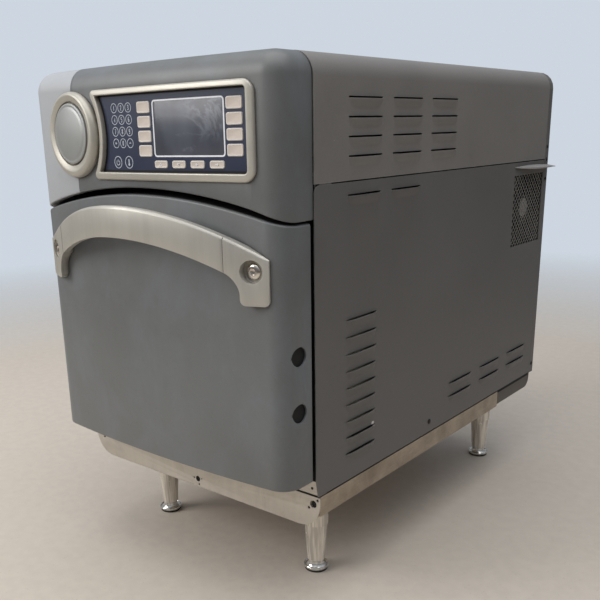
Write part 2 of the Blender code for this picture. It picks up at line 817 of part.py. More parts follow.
def louvre_rows(y, z, columns, rows, pitch, length, row_pitch=LOUVRE_ROW_PITCH):
    return [
        (y + column * pitch, z - row * row_pitch, length)
        for column in range(columns)
        for row in range(rows)
    ]


def add_louvres(obj, name, side, places):
    fuse(obj, louvre_bulges(name + "_bulges", side, places))
    cut(obj, louvre_slits(name + "_slits", side, places))


def build_base_pan():
    outline = (
        [(FACE_BACK + CLEARANCE, PANEL_BOTTOM - CLEARANCE), (FACE_BACK + CLEARANCE, PAN_BOTTOM)]
        + arc(
            (PAN_REAR - PAN_REAR_ROUND, PAN_BOTTOM + PAN_REAR_ROUND),
            PAN_REAR_ROUND,
            -90,
            0,
            CORNER_STEPS,
        )
        + [(PAN_REAR, PANEL_BOTTOM - CLEARANCE)]
    )
    pan = add_part(prism_mesh("base_pan", outline, "x", -HALF, HALF), "stainless")
    inner = PAN_SHEET + PAN_STEP
    cut(
        pan,
        box_mesh(
            "pan_inside",
            (
                (-HALF + PAN_SHEET, FACE_BACK + CLEARANCE + PAN_SHEET, PAN_BOTTOM + PAN_SHEET),
                (HALF - PAN_SHEET, PAN_STEP_Y - PAN_SHEET, HEIGHT),
            ),
        ),
        box_mesh(
            "pan_rear_inside",
            (
                (-HALF + inner, PAN_STEP_Y - 2 * PAN_SHEET, PAN_BOTTOM + PAN_SHEET),
                (HALF - inner, PAN_REAR - PAN_REAR_ROUND, HEIGHT),
            ),
        ),
        box_mesh(
            "pan_rear_steps",
            ((HALF - PAN_STEP, PAN_STEP_Y, 0), (HALF + OVERCUT, BODY_DEPTH, HEIGHT)),
            ((-HALF - OVERCUT, PAN_STEP_Y, 0), (-HALF + PAN_STEP, BODY_DEPTH, HEIGHT)),
        ),
    )


def build_front_skirt():
    radius = SKIRT_CORNER
    outline = (
        arc((SKIRT_HALF - radius, SKIRT_BOTTOM + radius), radius, -90, 0, CORNER_STEPS)
        + [(SKIRT_HALF, PANEL_BOTTOM - CLEARANCE), (-SKIRT_HALF, PANEL_BOTTOM - CLEARANCE)]
        + arc((radius - SKIRT_HALF, SKIRT_BOTTOM + radius), radius, 180, 270, CORNER_STEPS)
    )
    skirt = add_part(prism_mesh("front_skirt", outline, "y", FACE_Y, FACE_BACK), "stainless")
    bm = bmesh.new()
    start_y = FACE_Y - OVERCUT
    length = FACE_SHEET + 2 * OVERCUT
    spread_x, spread_z = SKIRT_SCREW_SPREAD_X, SKIRT_SCREW_SPREAD_Z
    for x, z, hole in (
        (SKIRT_HOLE_X, SKIRT_HOLE_Z, SKIRT_HOLE_RADIUS),
        (SKIRT_MIDDLE_X, SKIRT_MIDDLE_Z, SKIRT_HOLE_RADIUS),
        (SKIRT_HOLE_X - spread_x, SKIRT_HOLE_Z - spread_z, SKIRT_SCREW_RADIUS),
        (SKIRT_HOLE_X + spread_x, SKIRT_HOLE_Z + spread_z, SKIRT_SCREW_RADIUS),
    ):
        fill_cylinder(bm, (x, start_y, z), length, hole, "y", sides=SMALL_SIDES)
    cut(skirt, finish_mesh(bm, "skirt_holes"))


def build_front_frame():
    top = HOOD_ARCH_MIDDLE + RETURN_LIP
    flange = FACE_Y + LEG_TOP_RADIUS
    frame = add_part(
        box_mesh("front_frame", ((-FRAME_HALF, FACE_Y, PANEL_BOTTOM), (FRAME_HALF, flange, top))),
        "stainless",
    )
    cut(
        frame,
        box_mesh(
            "frame_inside",
            (
                (-FRAME_HALF + FACE_SHEET, FACE_BACK, PANEL_BOTTOM + FACE_SHEET),
                (FRAME_HALF - FACE_SHEET, flange + OVERCUT, top + OVERCUT),
            ),
        ),
        box_mesh(
            "frame_opening",
            (
                (-CHAMBER_HALF, FACE_Y - OVERCUT, CHAMBER_BOTTOM),
                (CHAMBER_HALF, FACE_BACK + OVERCUT, CHAMBER_TOP),
            ),
        ),
    )


def build_legs():
    leg_top = PAN_BOTTOM - CLEARANCE
    leg_profile = [
        (STEM_RADIUS + CLEARANCE, leg_top),
        (LEG_TOP_RADIUS, leg_top),
        (LEG_TOP_RADIUS, leg_top - LEG_COLLAR),
        (LEG_BOTTOM_RADIUS, LEG_BOTTOM),
        (STEM_RADIUS + CLEARANCE, LEG_BOTTOM),
        (STEM_RADIUS + CLEARANCE, leg_top),
    ]
    foot_profile = [
        (0, STEM_TOP),
        (STEM_RADIUS, STEM_TOP),
        (STEM_RADIUS, LEG_BOTTOM - CLEARANCE),
        (FOOT_NECK_RADIUS, LEG_BOTTOM - CLEARANCE),
        (FOOT_NECK_RADIUS, FOOT_PAD + FOOT_FLANGE),
        (FOOT_RADIUS, FOOT_PAD + CLEARANCE),
        (FOOT_RADIUS - FOOT_PAD / 2, 0),
        (0, 0),
    ]
    for row, y in (("front", LEG_FRONT_Y), ("rear", LEG_REAR_Y)):
        for side, x in (("left", -LEG_X), ("right", LEG_X)):
            turned_part(f"leg_{row}_{side}", leg_profile, (x, y, 0), "z", "stainless", LEG_SIDES)
            turned_part(f"foot_{row}_{side}", foot_profile, (x, y, 0), "z", "chrome", LEG_SIDES)


def cover_outline(inset):
    """The section of the cover and of the body behind it, open at the bottom."""
    half = HALF - inset
    radius = TOP_ROUND - inset
    top = HEIGHT - inset
    right = arc((half - radius, top - radius), radius, 0, 90, ROUND_STEPS)
    left = arc((radius - half, top - radius), radius, 90, 180, ROUND_STEPS)
    return right, left


def sheet_outline(low, inset=0, wall=SHEET):
    outer_right, outer_left = cover_outline(inset)
    inner_right, inner_left = cover_outline(inset + wall)
    outer = [(HALF - inset, low)] + outer_right + outer_left + [(inset - HALF, low)]
    inner_half = HALF - inset - wall
    inner = [(-inner_half, low)] + inner_left[::-1] + inner_right[::-1] + [(inner_half, low)]
    return outer + inner


def build_top_cover():
    outline = sheet_outline(COVER_SEAM + CLEARANCE)
    cover = add_part(
        prism_mesh("top_cover", outline, "y", CLEARANCE, PANEL_REAR - CLEARANCE), "grey_paint"
    )
    places = louvre_rows(
        COVER_LOUVRE_Y, COVER_LOUVRE_Z, COVER_COLUMNS, COVER_ROWS, LOUVRE_PITCH, LOUVRE_LENGTH
    )
    add_louvres(cover, "cover_right", 1, places)
    add_louvres(cover, "cover_left", -1, places)


def build_side_panels():
    radius = PANEL_CORNER
    outline = [
        (0, PANEL_BOTTOM),
        (PANEL_REAR - CLEARANCE, PANEL_BOTTOM),
        (PANEL_REAR - CLEARANCE, COVER_SEAM),
    ] + arc((radius, COVER_SEAM - radius), radius, 90, 180, CORNER_STEPS)
    places = (
        louvre_rows(
            HIGH_LOUVRE_Y, HIGH_LOUVRE_Z, HIGH_COLUMNS, HIGH_ROWS, LOUVRE_PITCH, LOUVRE_LENGTH
        )
        + louvre_rows(
            STACK_Y,
            STACK_Z,
            STACK_COLUMNS,
            STACK_ROWS,
            LOUVRE_PITCH,
            STACK_LENGTH,
            STACK_ROW_PITCH,
        )
        + louvre_rows(LOW_LOUVRE_Y, LOW_LOUVRE_Z, LOW_COLUMNS, LOW_ROWS, LOW_PITCH, LOW_LENGTH)
    )
    for side, word in ((1, "right"), (-1, "left")):
        low, high = sorted((side * PANEL_INNER, side * HALF))
        panel = add_part(prism_mesh(f"side_panel_{word}", outline, "x", low, high), "grey_paint")
        add_louvres(panel, f"panel_{word}", side, places)
        if side > 0:
            add_vent(panel)


def add_vent(panel):
    """The vent window in the right panel, with its top flap bent out as a visor."""
    half_length = VENT_LENGTH / 2
    half_height = VENT_HEIGHT / 2
    visor_z = VENT_Z + half_height + VISOR_RISE
    root, tip = HALF - SHEET / 2, HALF + VISOR_REACH
    start = VENT_Y - half_length
    end = PANEL_REAR - CLEARANCE
    outline = [
        (root, start),
        (HALF + 2 * SHEET, start),
        (tip, end),
        (tip, end + VISOR_OVERHANG),
        (HALF + SHEET, end + VISOR_OVERHANG),
        (HALF + SHEET, end),
        (root, end),
    ]
    cut(
        panel,
        box_mesh(
            "vent_window",
            (
                (PANEL_INNER - OVERCUT, VENT_Y - half_length, VENT_Z - half_height),
                (HALF + OVERCUT, VENT_Y + half_length, VENT_Z + half_height),
            ),
        ),
    )
    fuse(panel, prism_mesh("visor", outline, "z", visor_z - SHEET, visor_z))


def build_vent_mesh():
    half_length = VENT_LENGTH / 2 + VENT_LAP
    half_height = VENT_HEIGHT / 2 + VENT_LAP
    right = PANEL_INNER - CLEARANCE
    mesh = add_part(
        box_mesh(
            "vent_mesh",
            (
                (right - SHEET, VENT_Y - half_length + VENT_LAP / 2, VENT_Z - half_height),
                (right, VENT_Y + VENT_LENGTH / 2 + VENT_RIB, VENT_Z + half_height),
            ),
        ),
        "black_plastic",
    )
    cell_y = VENT_LENGTH / VENT_COLUMNS
    cell_z = VENT_HEIGHT / VENT_ROWS
    boxes = []
    for column in range(VENT_COLUMNS):
        for row in range(VENT_ROWS):
            y = VENT_Y - VENT_LENGTH / 2 + column * cell_y
            z = VENT_Z - VENT_HEIGHT / 2 + row * cell_z
            low = (right - SHEET - OVERCUT, y + VENT_RIB / 2, z + VENT_RIB / 2)
            high = (right + OVERCUT, y + cell_y - VENT_RIB / 2, z + cell_z - VENT_RIB / 2)
            boxes.append((low, high))
    cut(mesh, box_mesh("vent_cells", *boxes))


def build_rear_panel():
    right, left = cover_outline(0)
    outline = [(HALF, PANEL_BOTTOM)] + right + left + [(-HALF, PANEL_BOTTOM)]
    panel = add_part(
        prism_mesh("rear_panel", outline, "y", PANEL_REAR, BODY_DEPTH), "grey_paint"
    )
    inner_right, inner_left = cover_outline(SHEET)
    inside = (
        [(HALF - SHEET, PANEL_BOTTOM + SHEET)]
        + inner_right
        + inner_left
        + [(SHEET - HALF, PANEL_BOTTOM + SHEET)]
    )
    slots = []
    for row in range(REAR_SLOTS):
        z = REAR_SLOT_Z - row * REAR_SLOT_PITCH
        for x in (-REAR_SLOT_X, REAR_SLOT_X):
            low = (x - REAR_SLOT_LENGTH / 2, PANEL_REAR, z)
            high = (x + REAR_SLOT_LENGTH / 2, BODY_DEPTH + OVERCUT, z + REAR_SLOT_HEIGHT)
            slots.append((low, high))
    cut(
        panel,
        prism_mesh("rear_inside", inside, "y", PANEL_REAR - OVERCUT, BODY_DEPTH - SHEET),
        box_mesh("rear_slots", *slots),
        cylinder_mesh(
            "gland_hole",
            (GLAND_X, PANEL_REAR, GLAND_Z),
            GLAND_REACH + OVERCUT,
            GLAND_NECK_RADIUS + CLEARANCE,
            "y",
        ),
    )


def build_cord_gland():
    profile = [
        (GLAND_BORE, GLAND_REACH),
        (GLAND_NECK_RADIUS, GLAND_REACH),
        (GLAND_RADIUS, GLAND_FLANGE + CLEARANCE),
        (GLAND_RADIUS, CLEARANCE),
        (GLAND_NECK_RADIUS, CLEARANCE),
        (GLAND_NECK_RADIUS, -GLAND_FLANGE),
        (GLAND_BORE, -GLAND_FLANGE),
        (GLAND_BORE, GLAND_REACH),
    ]
    turned_part("cord_gland", profile, (GLAND_X, BODY_DEPTH, GLAND_Z), "y", "black_plastic")


def hood_mesh(name):
    """The whole moulding over the door, as an open skin."""
    def lip(x):
        drop = HOOD_CORNER_DROP * (x / FRONT_HALF) ** HOOD_CORNER_POWER
        return arch_z(x, HOOD_ARCH_MIDDLE) - drop

    def above_lip(x):
        return lip(x) + EDGE_ROUND

    rear = -CLEARANCE
    rings = [
        front_ring(RETURN_LIP, rear, lip),
        front_ring(EDGE_ROUND, rear, lip),
        front_ring(0, rear, above_lip),
    ]
    for inset, rise in arc((TOP_ROUND, 0), TOP_ROUND, 180, 90, ROUND_STEPS):
        height = HEIGHT - TOP_ROUND + rise
        rings.append(front_ring(min(inset, FRONT_CORNER - CLEARANCE), rear, lambda x, z=height: z))
    mesh = loft_mesh(name, rings, ring_closed=False, caps=False)
    bm = bmesh.new()
    bm.from_mesh(mesh)
    bm.verts.ensure_lookup_table()
    count = len(rings[-1])
    bm.faces.new(bm.verts[-count:])
    bmesh.ops.recalc_face_normals(bm, faces=bm.faces)
    if sum(face.normal.z * face.calc_area() for face in bm.faces) < 0:
        bmesh.ops.reverse_faces(bm, faces=bm.faces)
    bm.to_mesh(mesh)
    bm.free()
    return mesh


def bezel_outline(inset):
    """The control bezel's outline, hollow on the left where it keeps clear of the badge."""
    right = BEZEL_RIGHT - inset
    low, high = BEZEL_BOTTOM + inset, BEZEL_TOP - inset
    radius = BEZEL_CORNER - inset / 2
    small = max(BEZEL_LEFT_CORNER - inset, BEZEL_LEFT_CORNER_LEAST)
    hollow_radius = BEZEL_HOLLOW_RADIUS + inset
    reach = hollow_radius + small
    rise = high - small - BADGE_Z
    fall = BADGE_Z - low - small
    rise_deg = math.degrees(math.asin(rise / reach))
    fall_deg = math.degrees(math.asin(fall / reach))
    top_x = BEZEL_HOLLOW_X + math.sqrt(reach**2 - rise**2)
    low_x = BEZEL_HOLLOW_X + math.sqrt(reach**2 - fall**2)
    hollow_centre = (BEZEL_HOLLOW_X, BADGE_Z)
    steps = BEZEL_FILLET_STEPS
    hollow = arc(hollow_centre, hollow_radius, rise_deg, -fall_deg, 2 * CORNER_STEPS)
    flat_end = right - radius
    bottom = [(along(low_x, flat_end, k, FRONT_STEPS), low) for k in range(FRONT_STEPS)]
    top = [(along(flat_end, top_x, k, FRONT_STEPS), high) for k in range(1, FRONT_STEPS + 1)]
    return (
        bottom
        + arc((right - radius, low + radius), radius, -90, 0, CORNER_STEPS)
        + arc((right - radius, high - radius), radius, 0, 90, CORNER_STEPS)
        + top
        + arc((top_x, high - small), small, 90, 180 + rise_deg, steps)[1:]
        + hollow[1:-1]
        + arc((low_x, low + small), small, 180 - fall_deg, 270, steps)[:-1]
    )


def bezel_ring(inset, y):
    return [(x, y, z) for x, z in bezel_outline(inset)]


def build_hood():
    reach = WIDTH
    hood = solidify(add_part(hood_mesh("front_hood"), "grey_moulding"), MOULDING_WALL)
    cap = solidify(add_part(hood_mesh("end_cap"), "silver_moulding"), MOULDING_WALL)
    opening = bezel_outline(BEZEL_BORDER - BEZEL_WALL - CLEARANCE)
    cut(
        hood,
        box_mesh("cap_side", ((-reach, -reach, 0), (CAP_EDGE_X, reach, reach + HEIGHT))),
        prism_mesh("bezel_opening", opening, "y", -FRONT_REACH - OVERCUT, -FRONT_REACH / 2),
    )
    cut(
        cap,
        box_mesh(
            "hood_side", ((CAP_EDGE_X - CLEARANCE, -reach, 0), (reach, reach, reach + HEIGHT))
        ),
    )


def build_badge():
    """Round badge: a ring rounded on its outside, dished inside, with a plain domed disc in it."""
    slope = math.degrees(math.atan(2 * bow(BADGE_X) / BADGE_X))
    turn = Matrix.Rotation(math.radians(slope - BADGE_TILT_DEG), 4, "Z")
    place = Matrix.Translation((BADGE_X, front_y(BADGE_X), BADGE_Z)) @ turn

    def on_hood(radius, height):
        points = arc((BADGE_X, BADGE_Z), radius, 0, 360, BADGE_STEPS)[:-1]
        return [(x, front_y(x) - height, z) for x, z in points]

    def circle(radius, height):
        points = arc((0, BADGE_SHIFT), radius, 0, 360, BADGE_STEPS)[:-1]
        return [tuple(place @ Vector((x, -height, z))) for x, z in points]

    bore = BADGE_POCKET_RADIUS
    ring = loft_mesh(
        "badge_ring",
        [
            on_hood(BADGE_RADIUS, CLEARANCE),
            on_hood(BADGE_RADIUS, BADGE_EDGE),
            circle(BADGE_SHOULDER_RADIUS, BADGE_SHOULDER_HEIGHT),
            circle(BADGE_RIM_RADIUS, BADGE_HEIGHT),
            circle(bore, BADGE_LIP_HEIGHT),
            circle(bore, BADGE_FLOOR),
            circle(bore / 2, BADGE_FLOOR),
            circle(bore / 2, DISC_BOSS_GAP),
        ],
        loop=True,
    )
    add_part(ring, "champagne")
    rings = [circle(bore / 2 - CLEARANCE, DISC_BOSS_GAP)]
    rings.append(circle(bore / 2 - CLEARANCE, BADGE_FLOOR + CLEARANCE))
    rings.append(circle(DISC_RADIUS, BADGE_FLOOR + CLEARANCE))
    for x, rise in arc((0, 0), 1, 0, DISC_SWEEP_DEG, DISC_STEPS):
        rings.append(circle(DISC_RADIUS * x, DISC_EDGE_HEIGHT + DISC_CROWN * rise))
    add_part(loft_mesh("badge_disc", rings), "silver_moulding")


def build_bezel():
    """A frame that rises from the hood to a crest near its window, then drops to the keypad."""
    border = BEZEL_BORDER
    wall = border - BEZEL_WALL
    mesh = loft_mesh(
        "control_bezel",
        [
            bezel_ring(0, -CLEARANCE),
            bezel_ring(0, -BEZEL_EDGE),
            bezel_ring(BEZEL_SHOULDER, BEZEL_SHOULDER_DROP - BEZEL_HEIGHT),
            bezel_ring(BEZEL_CREST, -BEZEL_HEIGHT),
            bezel_ring(border - BEZEL_INNER_EDGE, -BEZEL_HEIGHT),
            bezel_ring(border, BEZEL_INNER_EDGE - BEZEL_HEIGHT),
            bezel_ring(border, BEZEL_BACK),
            bezel_ring(wall, BEZEL_BACK),
            bezel_ring(wall, -CLEARANCE),
        ],
        loop=True,
    )
    add_part(bow_mesh(mesh), "champagne")


def key_mesh(name, x, z, width, height):
    """A key pad with a rounded face and a lip behind the membrane that keeps it in."""
    back = MEMBRANE_FACE + MEMBRANE + CLEARANCE
    steps = (
        (KEY_EDGE, MEMBRANE_FACE - KEY_RISE),
        (0, MEMBRANE_FACE - KEY_RISE + KEY_EDGE),
        (0, back),
        (-KEY_LIP, back),
        (-KEY_LIP, back + KEY_LIP_DEPTH),
    )
    rings = []
    for inset, y in steps:
        half_x, half_z = width / 2 - inset, height / 2 - inset
        radius = KEY_EDGE + KEY_LIP
        points = round_rect(x - half_x, x + half_x, z - half_z, z + half_z, radius, KEY_STEPS)
        rings.append([(px, y, pz) for px, pz in points])
    return bow_mesh(loft_mesh(name, rings))


def key_places():
    """Each key's name, place and size."""
    keys = []
    for row in range(SIDE_KEYS):
        z = SIDE_KEY_TOP_Z - row * SIDE_KEY_PITCH
        keys.append((f"soft_key_left_{row + 1}", LEFT_KEY_X, z, SIDE_KEY_WIDTH, SIDE_KEY_HEIGHT))
        keys.append((f"soft_key_right_{row + 1}", RIGHT_KEY_X, z, SIDE_KEY_WIDTH, SIDE_KEY_HEIGHT))
    for column, word in enumerate(LOW_KEY_NAMES):
        x = LOW_KEY_X + column * LOW_KEY_PITCH
        keys.append((f"arrow_key_{word}", x, LOW_KEY_Z, LOW_KEY_WIDTH, LOW_KEY_HEIGHT))
    return keys


def bowed_slab(name, left, right, low, high, front, back):
    """A plate that follows the bowed front, front and back measured from it."""
    sections = []
    for k in range(SLAB_STEPS + 1):
        x = along(left, right, k, SLAB_STEPS)
        y = front_y(x)
        section = [(x, y + front, low), (x, y + front, high), (x, y + back, high)]
        sections.append(section + [(x, y + back, low)])
    return loft_mesh(name, sections)


def build_keypad():
    outline = bezel_outline(BEZEL_BORDER + CLEARANCE)
    slab = bowed_slab(
        "keypad_membrane",
        BEZEL_LEFT,
        BEZEL_RIGHT,
        BEZEL_BOTTOM,
        BEZEL_TOP,
        MEMBRANE_FACE,
        MEMBRANE_FACE + MEMBRANE,
    )
    membrane = add_part(slab, "navy_film")
    trim = prism_mesh("membrane_outline", outline, "y", -FRONT_REACH - OVERCUT, 0)
    add_boolean(membrane, trim, "INTERSECT")
    bumps = bmesh.new()
    rounds = [
        (NUMBER_X + column * NUMBER_PITCH_X, NUMBER_Z - row * NUMBER_PITCH_Z, NUMBER_RADIUS)
        for column in range(NUMBER_COLUMNS)
        for row in range(NUMBER_ROWS)
    ]
    rounds += [
        (ROUND_KEY_X + k * ROUND_KEY_PITCH, ROUND_KEY_Z, ROUND_KEY_RADIUS)
        for k in range(ROUND_KEYS)
    ]
    for x, z, radius in rounds:
        start = (x, MEMBRANE_FACE - NUMBER_RISE, z)
        fill_cylinder(bumps, start, MEMBRANE, radius, "y", sides=BUMP_SIDES)
    fuse(membrane, bow_mesh(finish_mesh(bumps, "number_bumps")))
    windows = bmesh.new()
    low_y, high_y = MEMBRANE_FACE - OVERCUT, MEMBRANE_FACE + MEMBRANE + OVERCUT
    for name, x, z, width, height in key_places():
        half_x, half_z = width / 2 + CLEARANCE, height / 2 + CLEARANCE
        fill_box(windows, (x - half_x, low_y, z - half_z), (x + half_x, high_y, z + half_z))
        add_part(key_mesh(name, x, z, width, height), "cream_key", (x, front_y(x), z))
    half_x, half_z = DISPLAY_WIDTH / 2 + CLEARANCE, DISPLAY_HEIGHT / 2 + CLEARANCE
    fill_box(
        windows,
        (DISPLAY_X - half_x, low_y, DISPLAY_Z - half_z),
        (DISPLAY_X + half_x, high_y, DISPLAY_Z + half_z),
    )
    cut(membrane, bow_mesh(finish_mesh(windows, "key_windows")))


def build_display():
    back = MEMBRANE_FACE + MEMBRANE + CLEARANCE
    slabs = []
    for name, grow, front, rear in (
        ("display", 0, MEMBRANE_FACE, back + DISPLAY_LIP),
        ("display_body", DISPLAY_LIP, back, DISPLAY_DEPTH),
    ):
        half_x, half_z = DISPLAY_WIDTH / 2 + grow, DISPLAY_HEIGHT / 2 + grow
        left, right = DISPLAY_X - half_x, DISPLAY_X + half_x
        low, high = DISPLAY_Z - half_z, DISPLAY_Z + half_z
        slabs.append(bowed_slab(name, left, right, low, high, front, rear))
    fuse(add_part(slabs[0], "display_glass"), slabs[1])


def build_control_board():
    """The circuit board behind the display, with its raised parts facing back."""
    left, right = BEZEL_LEFT + BOARD_MARGIN * 3, BEZEL_RIGHT - BOARD_MARGIN * 3
    low, high = BEZEL_BOTTOM + 2 * BOARD_MARGIN, BEZEL_TOP - 2 * BOARD_MARGIN
    seat = front_y(DISPLAY_X) + DISPLAY_DEPTH + CLEARANCE
    face = seat + BOARD_MARGIN / 2
    back = face + BOARD_SHEET
    board = add_part(
        box_mesh("control_board", ((left, face, low), (right, back, high))), "circuit_board"
    )
    span = right - left
    parts = []
    for share, width_share, height_share in BOARD_PART_SHARES:
        x = left + share * span
        top = low + height_share * (high - low)
        corner = (x + width_share * span, back + BOARD_PART_HEIGHT, top)
        parts.append(((x, back - BOARD_SHEET / 2, low + BOARD_MARGIN), corner))
    spacer_low = (DISPLAY_X - BOARD_MARGIN, seat, DISPLAY_Z)
    spacer_high = (DISPLAY_X + BOARD_MARGIN, face + BOARD_SHEET / 2, DISPLAY_Z + BOARD_MARGIN)
    fuse(board, box_mesh("board_parts", *parts))
    fuse(board, box_mesh("board_spacer", (spacer_low, spacer_high)))


def notch_mesh(name, side):
    """The space that a fixed hinge ear sweeps inside the door."""
    inner = ARM_X - EAR_GAP - EAR_SHEET
    low, high = sorted((side * (inner - NOTCH_SIDE), side * (ARM_X - EAR_GAP + CLEARANCE)))
    return box_mesh(
        name,
        (
            (low, HINGE_Y - NOTCH_REACH, DOOR_BOTTOM - OVERCUT),
            (high, OVERCUT, HINGE_Z + NOTCH_REACH),
        ),
    )


def door_bottom(x):
    return DOOR_BOTTOM


def door_top(x):
    return arch_z(x, DOOR_ARCH_MIDDLE)


def build_door_skin():
    round_edge = EDGE_ROUND
    rings = [
        front_ring(RETURN_LIP, DOOR_REAR, door_bottom),
        front_ring(round_edge, DOOR_REAR, door_bottom),
        front_ring(0, DOOR_REAR, lambda x: door_bottom(x) + round_edge),
        front_ring(0, DOOR_REAR, lambda x: door_top(x) - round_edge),
        front_ring(round_edge, DOOR_REAR, door_top),
        front_ring(RETURN_LIP, DOOR_REAR, door_top),
    ]
    mesh = loft_mesh("door_skin", rings, ring_closed=False, caps=False)
    face = max(mesh.polygons, key=lambda polygon: polygon.area)
    if face.normal.y > 0:
        mesh.flip_normals()
    skin = solidify(add_door_part(mesh, "grey_moulding"), MOULDING_WALL)
    holes = bmesh.new()
    arm_outer = ARM_X + ARM_SHEET
    for rise in (HOLE_UPPER_RISE, HOLE_LOWER_RISE):
        for x in (-HALF - OVERCUT, arm_outer + CLEARANCE):
            start = (x, HOLE_Y, DOOR_BOTTOM + rise)
            fill_cylinder(holes, start, HALF - arm_outer + OVERCUT, HOLE_RADIUS, "x")
    cut(skin, finish_mesh(holes, "door_holes"))
    cut(skin, notch_mesh("skin_notch_right", 1), notch_mesh("skin_notch_left", -1))


def build_door_inner():
    inset = MOULDING_WALL + DOOR_FIT
    half = FRONT_HALF - inset
    front = DOOR_REAR - DOOR_PLATE
    low = DOOR_BOTTOM + inset
    outline = [(-half, low), (half, low)]
    for k in range(FRONT_STEPS + 1):
        x = along(half, -half, k, FRONT_STEPS)
        outline.append((x, door_top(x) - inset))
    plate = add_door_part(prism_mesh("door_inner", outline, "y", front, DOOR_REAR), "stainless")
    plug_low = CHAMBER_MIDDLE - PLUG_HEIGHT / 2
    plug_high = CHAMBER_MIDDLE + PLUG_HEIGHT / 2
    plug_rings = []
    slope = PLUG_REACH / 2
    for step, y in (
        (0, front + DOOR_PLATE / 2),
        (0, DOOR_REAR + slope),
        (slope, DOOR_REAR + PLUG_REACH),
    ):
        side = PLUG_HALF - step
        points = round_rect(
            -side, side, plug_low + step, plug_high - step, GASKET_CORNER, WIDE_STEPS
        )
        plug_rings.append([(x, y, z) for x, z in points])
    flange_half = HALF - DOOR_FLANGE_INSET
    flange_low = (-flange_half, DOOR_FLANGE_FRONT, low)
    flange_high = (flange_half, DOOR_REAR - DOOR_PLATE / 2, low + DOOR_PLATE)
    fuse(plate, loft_mesh("door_plug", plug_rings))
    fuse(plate, box_mesh("door_floor", (flange_low, flange_high)))
    cut(plate, notch_mesh("inner_notch_right", 1), notch_mesh("inner_notch_left", -1))


def build_gasket():
    rings = []
    front, back = DOOR_REAR + CLEARANCE, FACE_Y - CLEARANCE
    middle = (front + back) / 2
    edge = GASKET_WIDTH / 4
    inner = CLEARANCE * 2
    outer = inner + GASKET_WIDTH
    for grow, y in (
        (inner, front),
        (outer, front),
        (outer, middle),
        (outer - edge, back),
        (inner + edge, back),
        (inner, middle),
    ):
        half = PLUG_HALF + grow
        low = CHAMBER_MIDDLE - PLUG_HEIGHT / 2 - grow
        high = CHAMBER_MIDDLE + PLUG_HEIGHT / 2 + grow
        points = round_rect(-half, half, low, high, GASKET_CORNER + grow, WIDE_STEPS)
        rings.append([(x, y, z) for x, z in points])
    add_door_part(loft_mesh("door_gasket", rings, loop=True), "silicone")


def build_hinges():
    """Each side: an arm in the door, and a fixed ear with the pin it turns on."""
    arm_back = DOOR_REAR - DOOR_PLATE - CLEARANCE
    arm_low = HINGE_Z - ARM_FOOT
    for side, word in ((1, "right"), (-1, "left")):
        low, high = sorted((side * ARM_X, side * (ARM_X + ARM_SHEET)))
        corner = arm_back - HINGE_Y
        outline = [
            (arm_back, arm_low + corner),
            (arm_back, ARM_TOP),
            (ARM_FRONT, ARM_TOP),
            (ARM_FRONT, arm_low + corner),
            (HINGE_Y - corner, arm_low),
            (HINGE_Y + corner / 2, arm_low),
        ]
        arm = add_door_part(prism_mesh(f"hinge_arm_{word}", outline, "x", low, high), "zinc_steel")
        bore = PIN_RADIUS + PIN_CLEARANCE
        start = low - OVERCUT
        length = ARM_SHEET + 2 * OVERCUT
        cut(
            arm,
            cylinder_mesh(f"arm_bore_{word}", (start, HINGE_Y, HINGE_Z), length, bore, "x"),
        )
        build_hinge_bracket(side, word)


def build_hinge_bracket(side, word):
    ear_outer = ARM_X - EAR_GAP
    ear_low, ear_high = sorted((side * (ear_outer - EAR_SHEET), side * ear_outer))
    back = FACE_Y - CLEARANCE
    plate_front = back - BRACKET_SHEET
    outline = arc((HINGE_Y, HINGE_Z), EAR_RADIUS, 90, 270, 2 * CORNER_STEPS)
    outline += [(plate_front + BRACKET_SHEET / 2, HINGE_Z - EAR_RADIUS)]
    outline += [(plate_front + BRACKET_SHEET / 2, HINGE_Z + EAR_RADIUS)]
    ear = prism_mesh(f"hinge_bracket_{word}", outline, "x", ear_low, ear_high)
    bracket = add_part(ear, "zinc_steel")
    inner = ear_outer - BRACKET_WIDTH
    plate_low, plate_high = sorted((side * inner, side * ear_outer))
    plate = box_mesh(
        f"bracket_plate_{word}",
        (
            (plate_low, plate_front, HINGE_Z - BRACKET_RISE / 2),
            (plate_high, back, HINGE_Z + BRACKET_RISE),
        ),
    )
    pin_end = FRONT_HALF - MOULDING_WALL - 2 * CLEARANCE
    pin_start = ear_outer - EAR_SHEET / 2
    start = side * pin_start if side > 0 else -pin_end
    pin = cylinder_mesh(
        f"hinge_pin_{word}", (start, HINGE_Y, HINGE_Z), pin_end - pin_start, PIN_RADIUS, "x"
    )
    fuse(bracket, plate, pin)


def handle_front(x):
    fall = HANDLE_REACH_FALL * abs(x / HANDLE_HALF) ** HANDLE_REACH_POWER
    return front_y(x) - HANDLE_REACH + fall


def handle_top(x):
    return HANDLE_TOP - HANDLE_TOP_FALL * (x / HANDLE_HALF) ** 2


def handle_low(x):
    return HANDLE_LOW - HANDLE_LOW_FALL * (x / HANDLE_HALF) ** 2


def handle_section(x, low, high, back):
    """A section of the handle across x, with its upper front edge chamfered."""
    front = handle_front(x)
    chamfer = min(HANDLE_CHAMFER, (back - front) / 2)
    edge = min(HANDLE_EDGE, (back - front) / 2)
    return [
        (x, back, low),
        (x, front + edge, low),
        (x, front, low + edge),
        (x, front, high - chamfer),
        (x, front + chamfer, high),
        (x, back, high),
    ]


def build_handle_bar():
    sections = []
    reach = HANDLE_SPLIT - CLEARANCE
    for k in range(HANDLE_STEPS + 1):
        x = along(-reach, reach, k, HANDLE_STEPS)
        back = handle_front(x) + HANDLE_THICKNESS
        sections.append(handle_section(x, handle_low(x), handle_top(x), back))
    add_door_part(loft_mesh("handle_bar", sections), "champagne")


